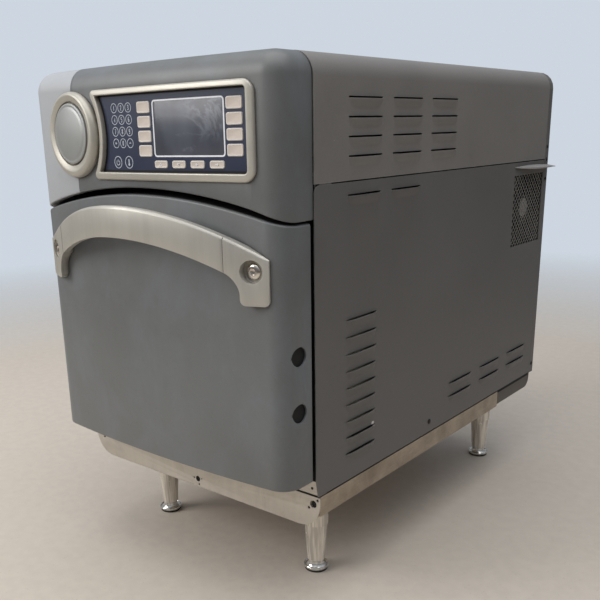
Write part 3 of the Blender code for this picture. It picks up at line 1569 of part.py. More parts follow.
def foot_low(x):
    """The lower edge of an end bracket: it drops from the bar's edge down to the foot."""
    if x < FOOT_INNER - FOOT_FILLET:
        return handle_low(x)
    if x < FOOT_INNER:
        share = (x - FOOT_INNER + FOOT_FILLET) / FOOT_FILLET
        start = handle_low(FOOT_INNER - FOOT_FILLET)
        return start - FOOT_FILLET * (1 - math.sqrt(max(0, 1 - share**2)))
    inside = min(x - FOOT_INNER, HANDLE_HALF - x)
    share = max(0, 1 - inside / FOOT_ROUND)
    return FOOT_LOW + FOOT_ROUND * (1 - math.sqrt(max(0, 1 - share**2)))


def bracket_stations():
    fillet = [FOOT_INNER - FOOT_FILLET * share for share in FILLET_SHARES]
    inner = [FOOT_INNER + FOOT_ROUND * share for share in CORNER_SHARES]
    outer = [HANDLE_HALF - FOOT_ROUND * share for share in CORNER_SHARES[::-1]]
    return [HANDLE_SPLIT + CLEARANCE] + fillet + inner + outer


def bracket_section(x):
    """A section of an end bracket: as thick as the bar at its top, and filled below to the door."""
    back = front_y(x) - CLEARANCE
    low, high = foot_low(x), handle_top(x)
    section = handle_section(x, low, high, min(handle_front(x) + HANDLE_THICKNESS, back))
    return [(x, back, low)] + section[1:] + [(x, back, high - BRACKET_BACK_DROP)]


def build_handle_brackets():
    for side, word in ((1, "right"), (-1, "left")):
        sections = []
        for x in bracket_stations():
            sections.append([(side * px, py, pz) for px, py, pz in bracket_section(x)])
        mesh = loft_mesh(f"handle_bracket_{word}", sections)
        bracket = add_door_part(mesh, "champagne")
        x = side * POCKET_X
        turn = Matrix.Rotation(math.atan(2 * bow(x) / x), 4, "Z")
        place = Matrix.Translation((x, front_y(x), POCKET_Z)) @ turn
        head_face = -POCKET_FLOOR - SCREW_HEAD_HEIGHT
        pocket = cylinder_mesh(
            f"pocket_{word}", (0, -POCKET_CUT, 0), POCKET_CUT - POCKET_FLOOR, POCKET_RADIUS, "y"
        )
        head = cylinder_mesh(
            f"screw_head_{word}",
            (0, head_face, 0),
            SCREW_HEAD_HEIGHT + SCREW_ROOT,
            SCREW_HEAD_RADIUS,
            "y",
            sides=SMALL_SIDES,
        )
        socket = cylinder_mesh(
            f"screw_socket_{word}",
            (0, head_face - OVERCUT, 0),
            OVERCUT + SOCKET_DEPTH,
            SOCKET_RADIUS,
            "y",
            sides=HEX_SIDES,
        )
        for tool in (pocket, head, socket):
            tool.transform(place)
        cut(bracket, pocket)
        fuse(bracket, head)
        cut(bracket, socket)


def build_chamber():
    """The stainless box that the food cooks in, with a front flange and two ledges."""
    flange = CHAMBER_HALF + CHAMBER_FLANGE
    rings = []
    for half, grow, y in (
        (flange, CHAMBER_FLANGE, CHAMBER_FRONT),
        (CHAMBER_HALF, 0, CHAMBER_FRONT),
        (CHAMBER_HALF, 0, CHAMBER_BACK - CHAMBER_SHEET),
    ):
        low, high = CHAMBER_BOTTOM - grow, CHAMBER_TOP + grow
        rings.append([(-half, y, low), (half, y, low), (half, y, high), (-half, y, high)])
    outer = CHAMBER_HALF + CHAMBER_SHEET
    low, high = CHAMBER_BOTTOM - CHAMBER_SHEET, CHAMBER_TOP + CHAMBER_SHEET
    flange_back = CHAMBER_FRONT + CHAMBER_SHEET
    outside = [(-outer, low), (outer, low), (outer, high), (-outer, high)]
    rings_out = [[(x, CHAMBER_BACK, z) for x, z in outside]]
    rings_out.append([(x, flange_back, z) for x, z in outside])
    rim = [(x, flange_back, z) for x, _, z in rings[0]]
    mesh = loft_mesh("cook_chamber", rings[::-1] + [rim] + rings_out[::-1])
    chamber = add_part(mesh, "stainless")
    ledges = []
    for side in (-1, 1):
        wall = side * (CHAMBER_HALF + CHAMBER_SHEET / 2)
        edge = side * (CHAMBER_HALF - LEDGE_WIDTH)
        low_x, high_x = sorted((wall, edge))
        start = (low_x, CHAMBER_FRONT + RACK_MARGIN, LEDGE_Z - LEDGE_SHEET)
        ledges.append((start, (high_x, CHAMBER_BACK - RACK_MARGIN, LEDGE_Z)))
    fuse(chamber, box_mesh("rack_ledges", *ledges))
    cut(
        chamber,
        cylinder_mesh(
            "chamber_inlet",
            (0, CHAMBER_BACK - OVERCUT, BLOWER_Z),
            2 * OVERCUT,
            INLET_RADIUS,
            "y",
        ),
    )


def build_jetplates():
    half = CHAMBER_HALF - 2 * CLEARANCE
    front = CHAMBER_FRONT + RACK_MARGIN
    back = CHAMBER_BACK - CHAMBER_SHEET - CLEARANCE
    holes = []
    for column in range(JET_COLUMNS):
        for row in range(JET_ROWS):
            x = along(JET_MARGIN - half, half - JET_MARGIN, column, JET_COLUMNS - 1)
            y = along(front + JET_MARGIN, back - JET_MARGIN, row, JET_ROWS - 1)
            holes.append((x, y))
    for word, wall_z, side in (("lower", CHAMBER_BOTTOM, 1), ("upper", CHAMBER_TOP, -1)):
        near = wall_z + side * CLEARANCE
        face = wall_z + side * JET_HEIGHT
        low, high = sorted((near, face))
        plate = add_part(
            box_mesh(f"{word}_jetplate", ((-half, front, low), (half, back, high))), "stainless"
        )
        inside = sorted((near - side * OVERCUT, face - side * JET_SHEET))
        inner = half - JET_SHEET
        cut(
            plate,
            box_mesh(
                f"{word}_jet_inside",
                ((-inner, front + JET_SHEET, inside[0]), (inner, back - JET_SHEET, inside[1])),
            ),
        )
        jets = bmesh.new()
        for x, y in holes:
            start = (x, y, min(face, face - side * JET_SHEET) - OVERCUT / 2)
            fill_cylinder(jets, start, JET_SHEET + OVERCUT, JET_HOLE, "z", sides=HEX_SIDES)
        cut(plate, finish_mesh(jets, f"{word}_jets"))


def build_rack():
    half = CHAMBER_HALF - RACK_MARGIN
    front = CHAMBER_FRONT + 2 * RACK_MARGIN
    back = CHAMBER_BACK - 2 * RACK_MARGIN
    z = LEDGE_Z + CLEARANCE + RACK_WIRE
    outline = round_rect(-half, half, front, back, RACK_CORNER, WIDE_STEPS)
    loop = wire_mesh("cooking_rack", [(x, y, z) for x, y in outline], RACK_WIRE, closed=True)
    rack = add_part(loop, "chrome")
    bars = bmesh.new()
    for k in range(RACK_BARS):
        x = along(RACK_CORNER - half, half - RACK_CORNER, k, RACK_BARS - 1)
        start = (x, front, z + RACK_BAR_WIRE)
        fill_cylinder(bars, start, back - front, RACK_BAR_WIRE, "y", sides=HEX_SIDES)
    fuse(rack, finish_mesh(bars, "rack_bars"))


def build_insulation():
    inner = CHAMBER_HALF + CHAMBER_SHEET + CLEARANCE
    outer = inner + INSULATION
    front = CHAMBER_FRONT + CHAMBER_SHEET + CLEARANCE
    low_in = CHAMBER_BOTTOM - CHAMBER_SHEET - CLEARANCE
    high_in = CHAMBER_TOP + CHAMBER_SHEET + CLEARANCE
    block = add_part(
        box_mesh(
            "chamber_insulation",
            (
                (-outer, front, low_in - INSULATION),
                (outer, INSULATION_BACK, high_in + INSULATION),
            ),
        ),
        "mineral_wool",
    )
    cut(
        block,
        box_mesh(
            "insulation_inside",
            ((-inner, front - OVERCUT, low_in), (inner, CHAMBER_BACK + CLEARANCE, high_in)),
        ),
        cylinder_mesh(
            "insulation_inlet",
            (0, CHAMBER_BACK - OVERCUT, BLOWER_Z),
            INSULATION + 2 * OVERCUT,
            INLET_RADIUS,
            "y",
        ),
        cylinder_mesh(
            "antenna_path",
            (MAGNETRON_X, MAGNETRON_Y, high_in - OVERCUT),
            INSULATION + 2 * OVERCUT,
            ANTENNA_RADIUS + 2 * CLEARANCE,
            "z",
            sides=SMALL_SIDES,
        ),
    )


def scroll_outline(grow):
    """A spiral casing round the blower wheel, its radius growing with the angle."""
    points = []
    for k in range(SCROLL_STEPS + 1):
        angle = math.radians(90 + 360 * k / SCROLL_STEPS)
        radius = SCROLL_START + SCROLL_GROWTH * k / SCROLL_STEPS + grow
        points.append((radius * math.cos(angle), BLOWER_Z + radius * math.sin(angle)))
    return points


def build_blower_housing():
    housing = add_part(
        prism_mesh("blower_housing", scroll_outline(0), "y", SCROLL_FRONT, SCROLL_BACK),
        "zinc_steel",
    )
    inside = scroll_outline(-SCROLL_SHEET)
    leads = bmesh.new()
    for x, z in heater_ends():
        start = (x, SCROLL_BACK - SCROLL_SHEET - OVERCUT, z)
        reach = HEATER_TUBE + LEAD_CLEARANCE
        fill_cylinder(leads, start, 3 * OVERCUT, reach, "y", sides=SMALL_SIDES)
    cut(
        housing,
        prism_mesh(
            "scroll_inside", inside, "y", SCROLL_FRONT + SCROLL_SHEET, SCROLL_BACK - SCROLL_SHEET
        ),
        cylinder_mesh(
            "scroll_inlet", (0, SCROLL_FRONT - OVERCUT, BLOWER_Z), 3 * OVERCUT, INLET_RADIUS, "y"
        ),
        cylinder_mesh(
            "scroll_shaft_hole",
            (0, SCROLL_BACK - SCROLL_SHEET - OVERCUT, BLOWER_Z),
            3 * OVERCUT,
            WHEEL_HUB,
            "y",
        ),
        finish_mesh(leads, "lead_holes"),
    )


def build_blower_wheel():
    """The centrifugal wheel on its shaft, its back plate towards the motor."""
    middle = (SCROLL_FRONT + SCROLL_BACK) / 2
    front = middle - WHEEL_WIDTH / 2
    back = middle + WHEEL_WIDTH / 2
    plate = cylinder_mesh(
        "blower_wheel", (0, back - WHEEL_PLATE, BLOWER_Z), WHEEL_PLATE, WHEEL_RADIUS, "y"
    )
    wheel = add_part(plate, "zinc_steel", (0, middle, BLOWER_Z))
    blades = bmesh.new()
    for k in range(WHEEL_BLADES):
        turn = Matrix.Translation((0, 0, BLOWER_Z)) @ Matrix.Rotation(
            2 * math.pi * k / WHEEL_BLADES, 4, "Y"
        )
        start = len(blades.verts)
        outer = WHEEL_RADIUS - WHEEL_PLATE / 2
        fill_box(
            blades,
            (-WHEEL_BLADE_SHEET / 2, front, outer - WHEEL_BLADE_LENGTH),
            (WHEEL_BLADE_SHEET / 2, back - WHEEL_PLATE / 2, outer),
        )
        blades.verts.ensure_lookup_table()
        bmesh.ops.transform(blades, matrix=turn, verts=blades.verts[start:])
    rim = ring_mesh(
        "wheel_rim",
        WHEEL_RADIUS - WHEEL_BLADE_LENGTH - WHEEL_PLATE,
        WHEEL_RADIUS,
        (0, front - WHEEL_PLATE / 2, BLOWER_Z),
        WHEEL_PLATE,
    )
    shaft_end = SCROLL_BACK + MOTOR_BOSS
    shaft = cylinder_mesh(
        "wheel_shaft",
        (0, front, BLOWER_Z),
        shaft_end - front,
        SHAFT_RADIUS,
        "y",
        sides=SMALL_SIDES,
    )
    hub = cylinder_mesh(
        "wheel_hub",
        (0, middle, BLOWER_Z),
        back - middle - WHEEL_PLATE / 2,
        WHEEL_HUB,
        "y",
        sides=SMALL_SIDES,
    )
    fuse(wheel, finish_mesh(blades, "wheel_blades"), rim, hub, shaft)


def ring_mesh(name, inner, outer, start, length):
    """A flat ring along +Y from start."""
    rings = []
    for radius, y in ((outer, 0), (outer, length), (inner, length), (inner, 0)):
        points = arc((start[0], start[2]), radius, 0, 360, ROUND_SIDES)[:-1]
        rings.append([(x, start[1] + y, z) for x, z in points])
    return loft_mesh(name, rings, loop=True)


def build_blower_motor():
    start = SCROLL_BACK + CLEARANCE
    motor = add_part(
        cylinder_mesh("blower_motor", (0, start, BLOWER_Z), MOTOR_LENGTH, MOTOR_RADIUS, "y"),
        "black_plastic",
    )
    cut(
        motor,
        cylinder_mesh(
            "motor_bore",
            (0, start - OVERCUT, BLOWER_Z),
            MOTOR_BOSS + 2 * OVERCUT,
            SHAFT_RADIUS + SHAFT_CLEARANCE,
            "y",
            sides=SMALL_SIDES,
        ),
    )


def heater_ends():
    half_gap = math.radians((360 - HEATER_TURN_DEG) / 2)
    x = HEATER_RADIUS * math.sin(half_gap)
    z = BLOWER_Z - HEATER_RADIUS * math.cos(half_gap)
    return [(x, z), (-x, z)]


def build_heater():
    """A sheathed ring heater round the wheel, its two leads out through the casing's back."""
    middle = (SCROLL_FRONT + SCROLL_BACK) / 2
    gap = (360 - HEATER_TURN_DEG) / 2
    centre = (0, BLOWER_Z)
    ring = arc(centre, HEATER_RADIUS, -90 + gap, 270 - gap, HEATER_POINTS)
    lead_end = SCROLL_BACK + 2 * OVERCUT
    path = [(ring[0][0], lead_end, ring[0][1])]
    path += [(x, middle, z) for x, z in ring]
    path += [(ring[-1][0], lead_end, ring[-1][1])]
    add_part(wire_mesh("heater", path, HEATER_TUBE, sides=1), "zinc_steel")


def build_magnetron():
    """The microwave source on the insulated chamber, its antenna reaching down to it."""
    low = CHAMBER_TOP + CHAMBER_SHEET + 2 * CLEARANCE + INSULATION
    left, right = MAGNETRON_X - MAGNETRON_WIDTH / 2, MAGNETRON_X + MAGNETRON_WIDTH / 2
    front, back = MAGNETRON_Y - MAGNETRON_DEPTH / 2, MAGNETRON_Y + MAGNETRON_DEPTH / 2
    body = box_mesh("magnetron", ((left, front, low), (right, back, low + MAGNETRON_HEIGHT)))
    magnetron = add_part(body, "zinc_steel")
    fins = []
    for k in range(MAGNETRON_FINS):
        z = low + MAGNETRON_HEIGHT * (k + 1) / (MAGNETRON_FINS + 1)
        start = (left - FIN_REACH, front + FIN_REACH, z)
        fins.append((start, (right + FIN_REACH, back - FIN_REACH, z + FIN_SHEET)))
    antenna_low = CHAMBER_TOP + CHAMBER_SHEET + CLEARANCE
    antenna = cylinder_mesh(
        "antenna",
        (MAGNETRON_X, MAGNETRON_Y, antenna_low),
        low - antenna_low + FIN_SHEET,
        ANTENNA_RADIUS,
        "z",
        sides=SMALL_SIDES,
    )
    fuse(magnetron, box_mesh("magnetron_fins", *fins), antenna)


def build_transformer():
    low = PAN_BOTTOM + PAN_SHEET + CLEARANCE
    half_x, half_y = TRANSFORMER_WIDTH / 2, TRANSFORMER_DEPTH / 2
    core = box_mesh(
        "hv_transformer",
        (
            (TRANSFORMER_X - half_x, TRANSFORMER_Y - half_y, low),
            (TRANSFORMER_X + half_x, TRANSFORMER_Y + half_y, low + TRANSFORMER_HEIGHT),
        ),
    )
    core = add_part(core, "zinc_steel")
    winding_x = half_x * WINDING_SHARE
    winding_z = TRANSFORMER_HEIGHT * (1 - WINDING_SHARE) / 2
    winding = box_mesh(
        "winding",
        (
            (TRANSFORMER_X - winding_x, TRANSFORMER_Y - half_y - WINDING_REACH, low + winding_z),
            (
                TRANSFORMER_X + winding_x,
                TRANSFORMER_Y + half_y + WINDING_REACH,
                low + TRANSFORMER_HEIGHT - winding_z,
            ),
        ),
    )
    fuse(core, winding)


def build_cooling_fan():
    """An axial fan behind the side vent: a square frame with a spider, and its rotor."""
    right = PANEL_INNER - 2 * CLEARANCE - SHEET
    left = right - FAN_DEPTH
    half = FAN_SIZE / 2
    shelf = (left, VENT_Y - half, PAN_BOTTOM + PAN_SHEET + CLEARANCE)
    frame = add_part(
        box_mesh(
            "cooling_fan_frame",
            ((left, VENT_Y - half, VENT_Z - half), (right, VENT_Y + half, VENT_Z + half)),
        ),
        "black_plastic",
    )
    cut(
        frame,
        cylinder_mesh(
            "fan_bore", (left + FAN_BACK, VENT_Y, VENT_Z), FAN_DEPTH + OVERCUT, FAN_BORE, "x"
        ),
    )
    windows = bmesh.new()
    centre = (VENT_Y, VENT_Z)
    sweep = 360 / FAN_SPOKES
    for k in range(FAN_SPOKES):
        start, end = sweep * k + FAN_SPOKE_DEG, sweep * (k + 1) - FAN_SPOKE_DEG
        points = arc(centre, FAN_BORE, start, end, CORNER_STEPS)
        points += arc(centre, FAN_HUB, end, start, WIDE_STEPS)
        fill_prism(windows, points, "x", left - OVERCUT, left + FAN_BACK + OVERCUT / 2)
    cut(frame, finish_mesh(windows, "fan_windows"))
    pin = cylinder_mesh(
        "fan_pin",
        (left + FAN_BACK / 2, VENT_Y, VENT_Z),
        FAN_DEPTH / 2,
        FAN_PIN,
        "x",
        sides=SMALL_SIDES,
    )
    post = box_mesh(
        "fan_post", (shelf, (left + FAN_SHELF, VENT_Y + FAN_HUB, VENT_Z - half + FAN_BACK))
    )
    fuse(frame, pin, post)
    hub_start = left + FAN_BACK + 2 * CLEARANCE
    hub_length = FAN_DEPTH - FAN_BACK - OVERCUT
    hub = cylinder_mesh(
        "cooling_fan_rotor", (hub_start, VENT_Y, VENT_Z), hub_length, FAN_HUB, "x"
    )
    rotor = add_part(hub, "black_plastic", (hub_start, VENT_Y, VENT_Z))
    blades = bmesh.new()
    middle = Vector((hub_start + hub_length / 2, VENT_Y, VENT_Z))
    reach = FAN_BORE - FAN_BLADE_TIP_GAP
    width = hub_length * FAN_BLADE_SHARE
    for k in range(FAN_BLADES):
        start = len(blades.verts)
        fill_box(
            blades,
            (-width / 2, -FAN_BLADE_SHEET / 2, FAN_HUB * FAN_BLADE_SHARE),
            (width / 2, FAN_BLADE_SHEET / 2, reach),
        )
        pitch = Matrix.Rotation(math.radians(FAN_BLADE_PITCH_DEG), 4, "Z")
        turn = Matrix.Rotation(2 * math.pi * k / FAN_BLADES, 4, "X")
        blades.verts.ensure_lookup_table()
        matrix = Matrix.Translation(middle) @ turn @ pitch
        bmesh.ops.transform(blades, matrix=matrix, verts=blades.verts[start:])
    fuse(rotor, finish_mesh(blades, "fan_blades"))
    cut(
        rotor,
        cylinder_mesh(
            "rotor_bore",
            (hub_start - OVERCUT, VENT_Y, VENT_Z),
            FAN_DEPTH / 2 + OVERCUT,
            FAN_PIN + SHAFT_CLEARANCE,
            "x",
            sides=SMALL_SIDES,
        ),
    )


def main():
    build_base_pan()
    build_front_skirt()
    build_front_frame()
    build_legs()
    build_top_cover()
    build_side_panels()
    build_vent_mesh()
    build_rear_panel()
    build_cord_gland()
    build_hood()
    build_badge()
    build_bezel()
    build_keypad()
    build_display()
    build_control_board()
    build_door_skin()
    build_door_inner()
    build_gasket()
    build_hinges()
    build_handle_bar()
    build_handle_brackets()
    build_chamber()
    build_jetplates()
    build_rack()
    build_insulation()
    build_blower_housing()
    build_blower_wheel()
    build_blower_motor()
    build_heater()
    build_magnetron()
    build_transformer()
    build_cooling_fan()


main()
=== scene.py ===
"""The looks of the countertop speed oven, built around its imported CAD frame.

Shapes are drawn in the oven's own seam frame, in metres: y = 0 is the front edge of the side
panels, x = 0 the middle and z = 0 the counter. SHIFT takes them to the frame of the CAD.
"""

import json
import math

import bmesh
import bpy
from mathutils import Matrix, Vector


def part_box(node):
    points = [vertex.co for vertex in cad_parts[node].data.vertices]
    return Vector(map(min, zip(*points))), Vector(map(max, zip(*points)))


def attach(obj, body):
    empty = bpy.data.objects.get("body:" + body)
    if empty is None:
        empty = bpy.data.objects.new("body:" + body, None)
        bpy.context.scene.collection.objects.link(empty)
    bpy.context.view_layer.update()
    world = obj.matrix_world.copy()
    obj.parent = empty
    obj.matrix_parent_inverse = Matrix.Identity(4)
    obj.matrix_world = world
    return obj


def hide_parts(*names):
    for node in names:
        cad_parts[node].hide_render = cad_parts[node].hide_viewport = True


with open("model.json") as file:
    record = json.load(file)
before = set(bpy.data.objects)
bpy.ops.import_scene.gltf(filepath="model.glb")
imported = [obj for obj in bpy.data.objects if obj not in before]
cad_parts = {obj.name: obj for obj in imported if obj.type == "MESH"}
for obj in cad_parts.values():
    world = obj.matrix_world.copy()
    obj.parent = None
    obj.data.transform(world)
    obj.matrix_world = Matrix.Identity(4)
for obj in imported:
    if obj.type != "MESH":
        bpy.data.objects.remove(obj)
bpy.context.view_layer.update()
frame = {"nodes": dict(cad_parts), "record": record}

SHIFT = Vector((-0.00515, -0.2666, 0))
GAP = 0.0003

# Body
HALF = 0.203
SHEET = 0.0012
DEPTH = 0.62
HEIGHT = 0.632
PANEL_BOTTOM = 0.149
COVER_SEAM = 0.502
PANEL_TOP = 0.5008
PANEL_REAR = 0.607
TOP_ROUND = 0.025
PANEL_CORNER = 0.008
SLANT_TOP = 0.172
LOUVRED_SHEET = 0.0011
SEAM_LOW, SEAM_TOP, FLANGE_END = 0.4955, 0.5085, 0.0305
PAN_STEP_Y = 0.482

# Bowed front
FRONT_REACH = 0.0594
FRONT_BOW = 0.011
FRONT_HALF = 0.2015
FRONT_CORNER = 0.026
WALL = 0.0025
EDGE_ROUND = 0.0022
RETURN_LIP = 0.012
ARCH_DROP = 0.028
HOOD_LIP_Z = 0.498
CAP_EDGE_X, CAP_GAP = -0.111, 0.0007
DOOR_BOTTOM = 0.172
DOOR_REAR = -0.005
DOOR_TOP_Z = 0.4908
DOOR_HOLE_Y, DOOR_HOLES_Z = -0.0255, (DOOR_BOTTOM + 0.153, DOOR_BOTTOM + 0.089)

# Badge and controls
BADGE_X, BADGE_Z = -0.109, 0.5568
BADGE_RADIUS = 0.049
HOLLOW_X, HOLLOW_RADIUS = -0.1395, 0.0807
BEZEL_LEFT, BEZEL_RIGHT = -0.067, 0.171
BEZEL_BOTTOM, BEZEL_TOP = 0.5065, 0.6052
BEZEL_BORDER, BEZEL_WALL = 0.0085, 0.0014
CUT_DEPTHS = (-0.07, 0)
MEMBRANE_FACE, MEMBRANE = 0.0012, 0.0012  # its depth behind the front, its thickness
DISPLAY = (0.0812, 0.5612, 0.0985, 0.056)  # centre x and z, width, height
SOFT_KEY_LEFT, SOFT_KEY_RIGHT, SOFT_KEY_SIZE = 0.0168, 0.1446, (0.0205, 0.0122)
SOFT_KEY_TOP, SOFT_KEY_STEP = 0.5838, 0.0152
ARROW_KEY_LEFT, ARROW_KEY_STEP, ARROW_KEY_Z = 0.040012, 0.026792, 0.524
ARROW_KEY_SIZE = (0.019505, 0.008)

# Handle
HANDLE_HALF = 0.184
HANDLE_SPLIT = 0.1375
FILLET_X = 0.138
FOOT_INNER = 0.154
FOOT_LOW = 0.3816
FILLET, FOOT_ROUND = 0.016, 0.006
CREST_BACK = 0.0095
POCKET_X, POCKET_Z = 0.1656, 0.4177

# Vent
VENT_Y, VENT_Z = 0.5495, 0.429
VENT_LENGTH, VENT_HEIGHT = 0.107, 0.106
VENT_FRONT, VENT_REAR = VENT_Y - VENT_LENGTH / 2, VENT_Y + VENT_LENGTH / 2
VENT_LOW, VENT_TOP = VENT_Z - VENT_HEIGHT / 2, VENT_Z + VENT_HEIGHT / 2

SIDES = ((1, "right"), (-1, "left"))


# --- colours and materials


def linear(red, green, blue):
    """An sRGB colour of 0 to 255 as the shader's linear colour."""
    out = []
    for value in (red, green, blue):
        share = value / 255
        out.append(share / 12.92 if share <= 0.04045 else ((share + 0.055) / 1.055) ** 2.4)
    return (*out, 1.0)


def add_node(tree, kind, inputs=(), **settings):
    """A shader node with its settings, each given input set to a value or linked to a socket."""
    node = tree.nodes.new("ShaderNode" + kind)
    for key, value in settings.items():
        setattr(node, key, value)
    for key, value in dict(inputs).items():
        if isinstance(value, bpy.types.NodeSocket):
            tree.links.new(value, node.inputs[key])
        else:
            node.inputs[key].default_value = value
    return node


MATERIALS = {}


class Look:
    """A node material, put together from noise, wear, painted light and shade, and bump on the
    object's own coordinates.

    Its tone is laid down in layers. The colour of a layer is three numbers of 0 to 255, or
    one number that makes the base colour lighter or darker.
    """

    def __init__(self, name, colour, roughness=0.5, metallic=0.0):
        self.material = MATERIALS[name] = bpy.data.materials.new(name)
        self.material.use_nodes = True
        self.tree = self.material.node_tree
        self.shader = self.tree.nodes["Principled BSDF"]
        self.shader.inputs["Roughness"].default_value = roughness
        self.shader.inputs["Metallic"].default_value = metallic
        self.place = self.node("TexCoord").outputs["Object"]
        self.base = linear(*colour)
        self.tone = self.normal = None

    def node(self, kind, inputs=(), **settings):
        return add_node(self.tree, kind, inputs, **settings)

    def noise(self, scale, detail=3.0, rough=0.55, stretch=None, distortion=0.0):
        place = self.place
        if stretch:
            place = self.node("Mapping", {"Vector": place, "Scale": stretch}).outputs["Vector"]
        inputs = {"Vector": place, "Scale": scale, "Detail": detail}
        inputs |= {"Roughness": rough, "Distortion": distortion}
        return self.node("TexNoise", inputs).outputs["Fac"]

    def cells(self, scale):
        inputs = {"Vector": self.place, "Scale": scale}
        return self.node("TexVoronoi", inputs).outputs["Distance"]

    def span(self, value, low, high, new_low=0.0, new_high=1.0):
        """A value carried over from the range low to high to a new one, and held inside it."""
        inputs = {"Value": value, "From Min": low, "From Max": high}
        inputs |= {"To Min": new_low, "To Max": new_high}
        return self.node("MapRange", inputs).outputs["Result"]

    def math(self, operation, *values):
        return self.node("Math", enumerate(values), operation=operation).outputs["Value"]

    def times(self, *values):
        result = values[0]
        for value in values[1:]:
            result = self.math("MULTIPLY", result, value)
        return result

    def measure(self, operation, *vectors):
        return self.node("VectorMath", enumerate(vectors), operation=operation).outputs["Value"]

    def axis(self, letter):
        return self.node("SeparateXYZ", {0: self.place}).outputs[letter]

    def mix(self, share, first, second):
        # A Mix node's colour sockets: 0 is the factor, 6 and 7 are A and B, 2 is the result.
        return self.node("Mix", {0: share, 6: first, 7: second}, data_type="RGBA").outputs[2]

    def colour(self, value):
        if isinstance(value, tuple):
            return linear(*value)
        return tuple(min(1.0, part * value) for part in self.base[:3]) + (1.0,)

    def start(self, share, first, second):
        """The lowest layer, which goes from one colour to another."""
        self.tone = self.mix(share, self.colour(first), self.colour(second))

    def lay(self, share, colour):
        self.tone = self.mix(share, self.tone, self.colour(colour))

    def edges(self, radius, low=0.02, high=0.35):
        """How sharply the surface turns here: 0 on a flat, 1 on an edge."""
        rounded = self.node("Bevel", {"Radius": radius}, samples=4).outputs["Normal"]
        plain = self.node("NewGeometry").outputs["Normal"]
        return self.span(self.measure("DOT_PRODUCT", rounded, plain), 1 - low, 1 - high)

    def corner_shade(self, amount, reach, colour):
        """Painted shade: darker, with a ragged edge, where the surface is hidden in a corner."""
        hidden = self.node("AmbientOcclusion", {"Distance": reach}, samples=6).outputs["AO"]
        ragged = self.span(self.noise(90, 4, 0.7), 0.3, 0.6, 0.4, 1.0)
        self.lay(self.times(self.span(hidden, 0.9, 0.25), ragged, amount), colour)

    def specks(self, scale, size, core, clouds, amount, colour):
        """Small spots, only where the clouds are thick."""
        spots = self.span(self.cells(scale), size, core)
        self.lay(self.times(spots, self.span(clouds, 0.5, 0.6), amount), colour)

    def bump(self, height, strength, distance):
        inputs = {"Height": height, "Strength": strength, "Distance": distance}
        if self.normal is not None:
            inputs["Normal"] = self.normal
        self.normal = self.node("Bump", inputs).outputs["Normal"]

    def done(self, **sockets):
        """Links the tone, the bumps and the given sockets to the shader."""
        sockets["Base Color"] = self.tone
        if self.normal is not None:
            sockets["Normal"] = self.normal
        for name, value in sockets.items():
            self.tree.links.new(value, self.shader.inputs[name])
        return self.material


def painted(
    name, colour, rough, grain=900, depth=0.00012, spread=0.10, chips=True,
    chip=None, painted_sheen=None, corner_shade=0.0, rim_highlight=None,
):
    """Powder paint or a moulding's fine texture, cloudy and a little worn, with painted shade in
    hidden corners and, where asked, a painted edge highlight and a painted bluish sheen.
    """
    look = Look(name, colour, rough)
    clouds = look.noise(7, 5, 0.6)
    look.start(look.span(clouds, 0.3, 0.7), 1 - spread, 1 + spread)
    look.lay(look.span(look.noise(38, 4, 0.7), 0.56, 0.8, 0, 0.35), 0.72)
    fine = look.noise(grain, 2, 0.6)
    look.lay(look.span(fine, 0.35, 0.7, 0, 0.28), 1.35)
    if chips:
        spots = look.span(look.cells(60), 0.035, 0.02)
        look.lay(look.times(spots, look.span(look.noise(16, 2), 0.6, 0.64)), (176, 172, 165))
        patches = look.span(look.noise(55, 4), 0.42, 0.6)
        look.lay(look.times(look.edges(0.0015), patches, 0.7), 2.2)
    if chip:
        away = look.measure("DISTANCE", look.place, chip)
        ragged = look.span(look.noise(700, 2), 0, 1, -0.0016, 0.0016)
        look.lay(look.span(look.math("ADD", away, ragged), 0.0030, 0.0026), (214, 212, 206))
    # Painted shade in hidden corners, tinted brown.
    if corner_shade:
        look.corner_shade(corner_shade, 0.007, (38, 33, 26))
    # Painted highlight: lighter where the surface turns sharply.
    if rim_highlight:
        look.lay(look.edges(0.0024, 0.002, 0.08), rim_highlight)
    # Painted reflection: bluish light patches of sheen on the moulding.
    if painted_sheen:
        film = look.noise(11, 5, 0.7, (1.0, 1.0, 0.7), 0.3)
        look.lay(look.span(film, 0.45, 0.72, 0, 0.4), painted_sheen)
    look.bump(fine, 0.5, depth)
    look.bump(look.noise(120, 2), 0.15, 0.0003)
    look.done(Roughness=look.span(clouds, 0.3, 0.7, rough - 0.06, rough + 0.07))


def brushed(
    name, colour, rough, stretch, metallic=1.0, spread=0.12, stain=0.0, lines=700, corner_shade=0.0
):
    """Metal with fine lines along one way, given by the small entry of stretch."""
    look = Look(name, colour, rough, metallic)
    grain = look.noise(lines, 3, 0.7, stretch)
    broad = look.noise(lines / 12, 3, 0.6, stretch)
    clouds = look.noise(14, 4, 0.6)
    look.start(look.span(broad, 0.3, 0.7), 1 - spread, 1 + spread)
    look.lay(look.span(grain, 0.3, 0.75, 0, 0.35), 1 + 2 * spread)
    if stain:
        marks = look.noise(24, 6, 0.75, None, 0.6)
        look.lay(look.span(marks, 0.5, 0.72, 0, stain), (112, 96, 74))
        look.specks(240, 0.2, 0.08, clouds, stain, (70, 58, 44))
    # Painted shade in hidden corners, tinted brown.
    if corner_shade:
        look.corner_shade(corner_shade, 0.006, (84, 68, 44))
    look.lay(look.times(look.edges(0.0008), 0.5), 1.35)
    look.bump(grain, 0.25, 0.00008)
    wave = look.span(clouds, 0.3, 0.7, rough - 0.05, rough + 0.08)
    look.done(Roughness=look.math("ADD", wave, look.span(grain, 0.3, 0.7, -0.04, 0.06)))


def printed(name, colour, spread=0.08, rough=0.45):
    look = Look(name, colour, rough)
    look.start(look.noise(300, 3), 1 - spread, 1 + spread)
    look.bump(look.noise(1500, 2), 0.2, 0.00005)
    look.done()


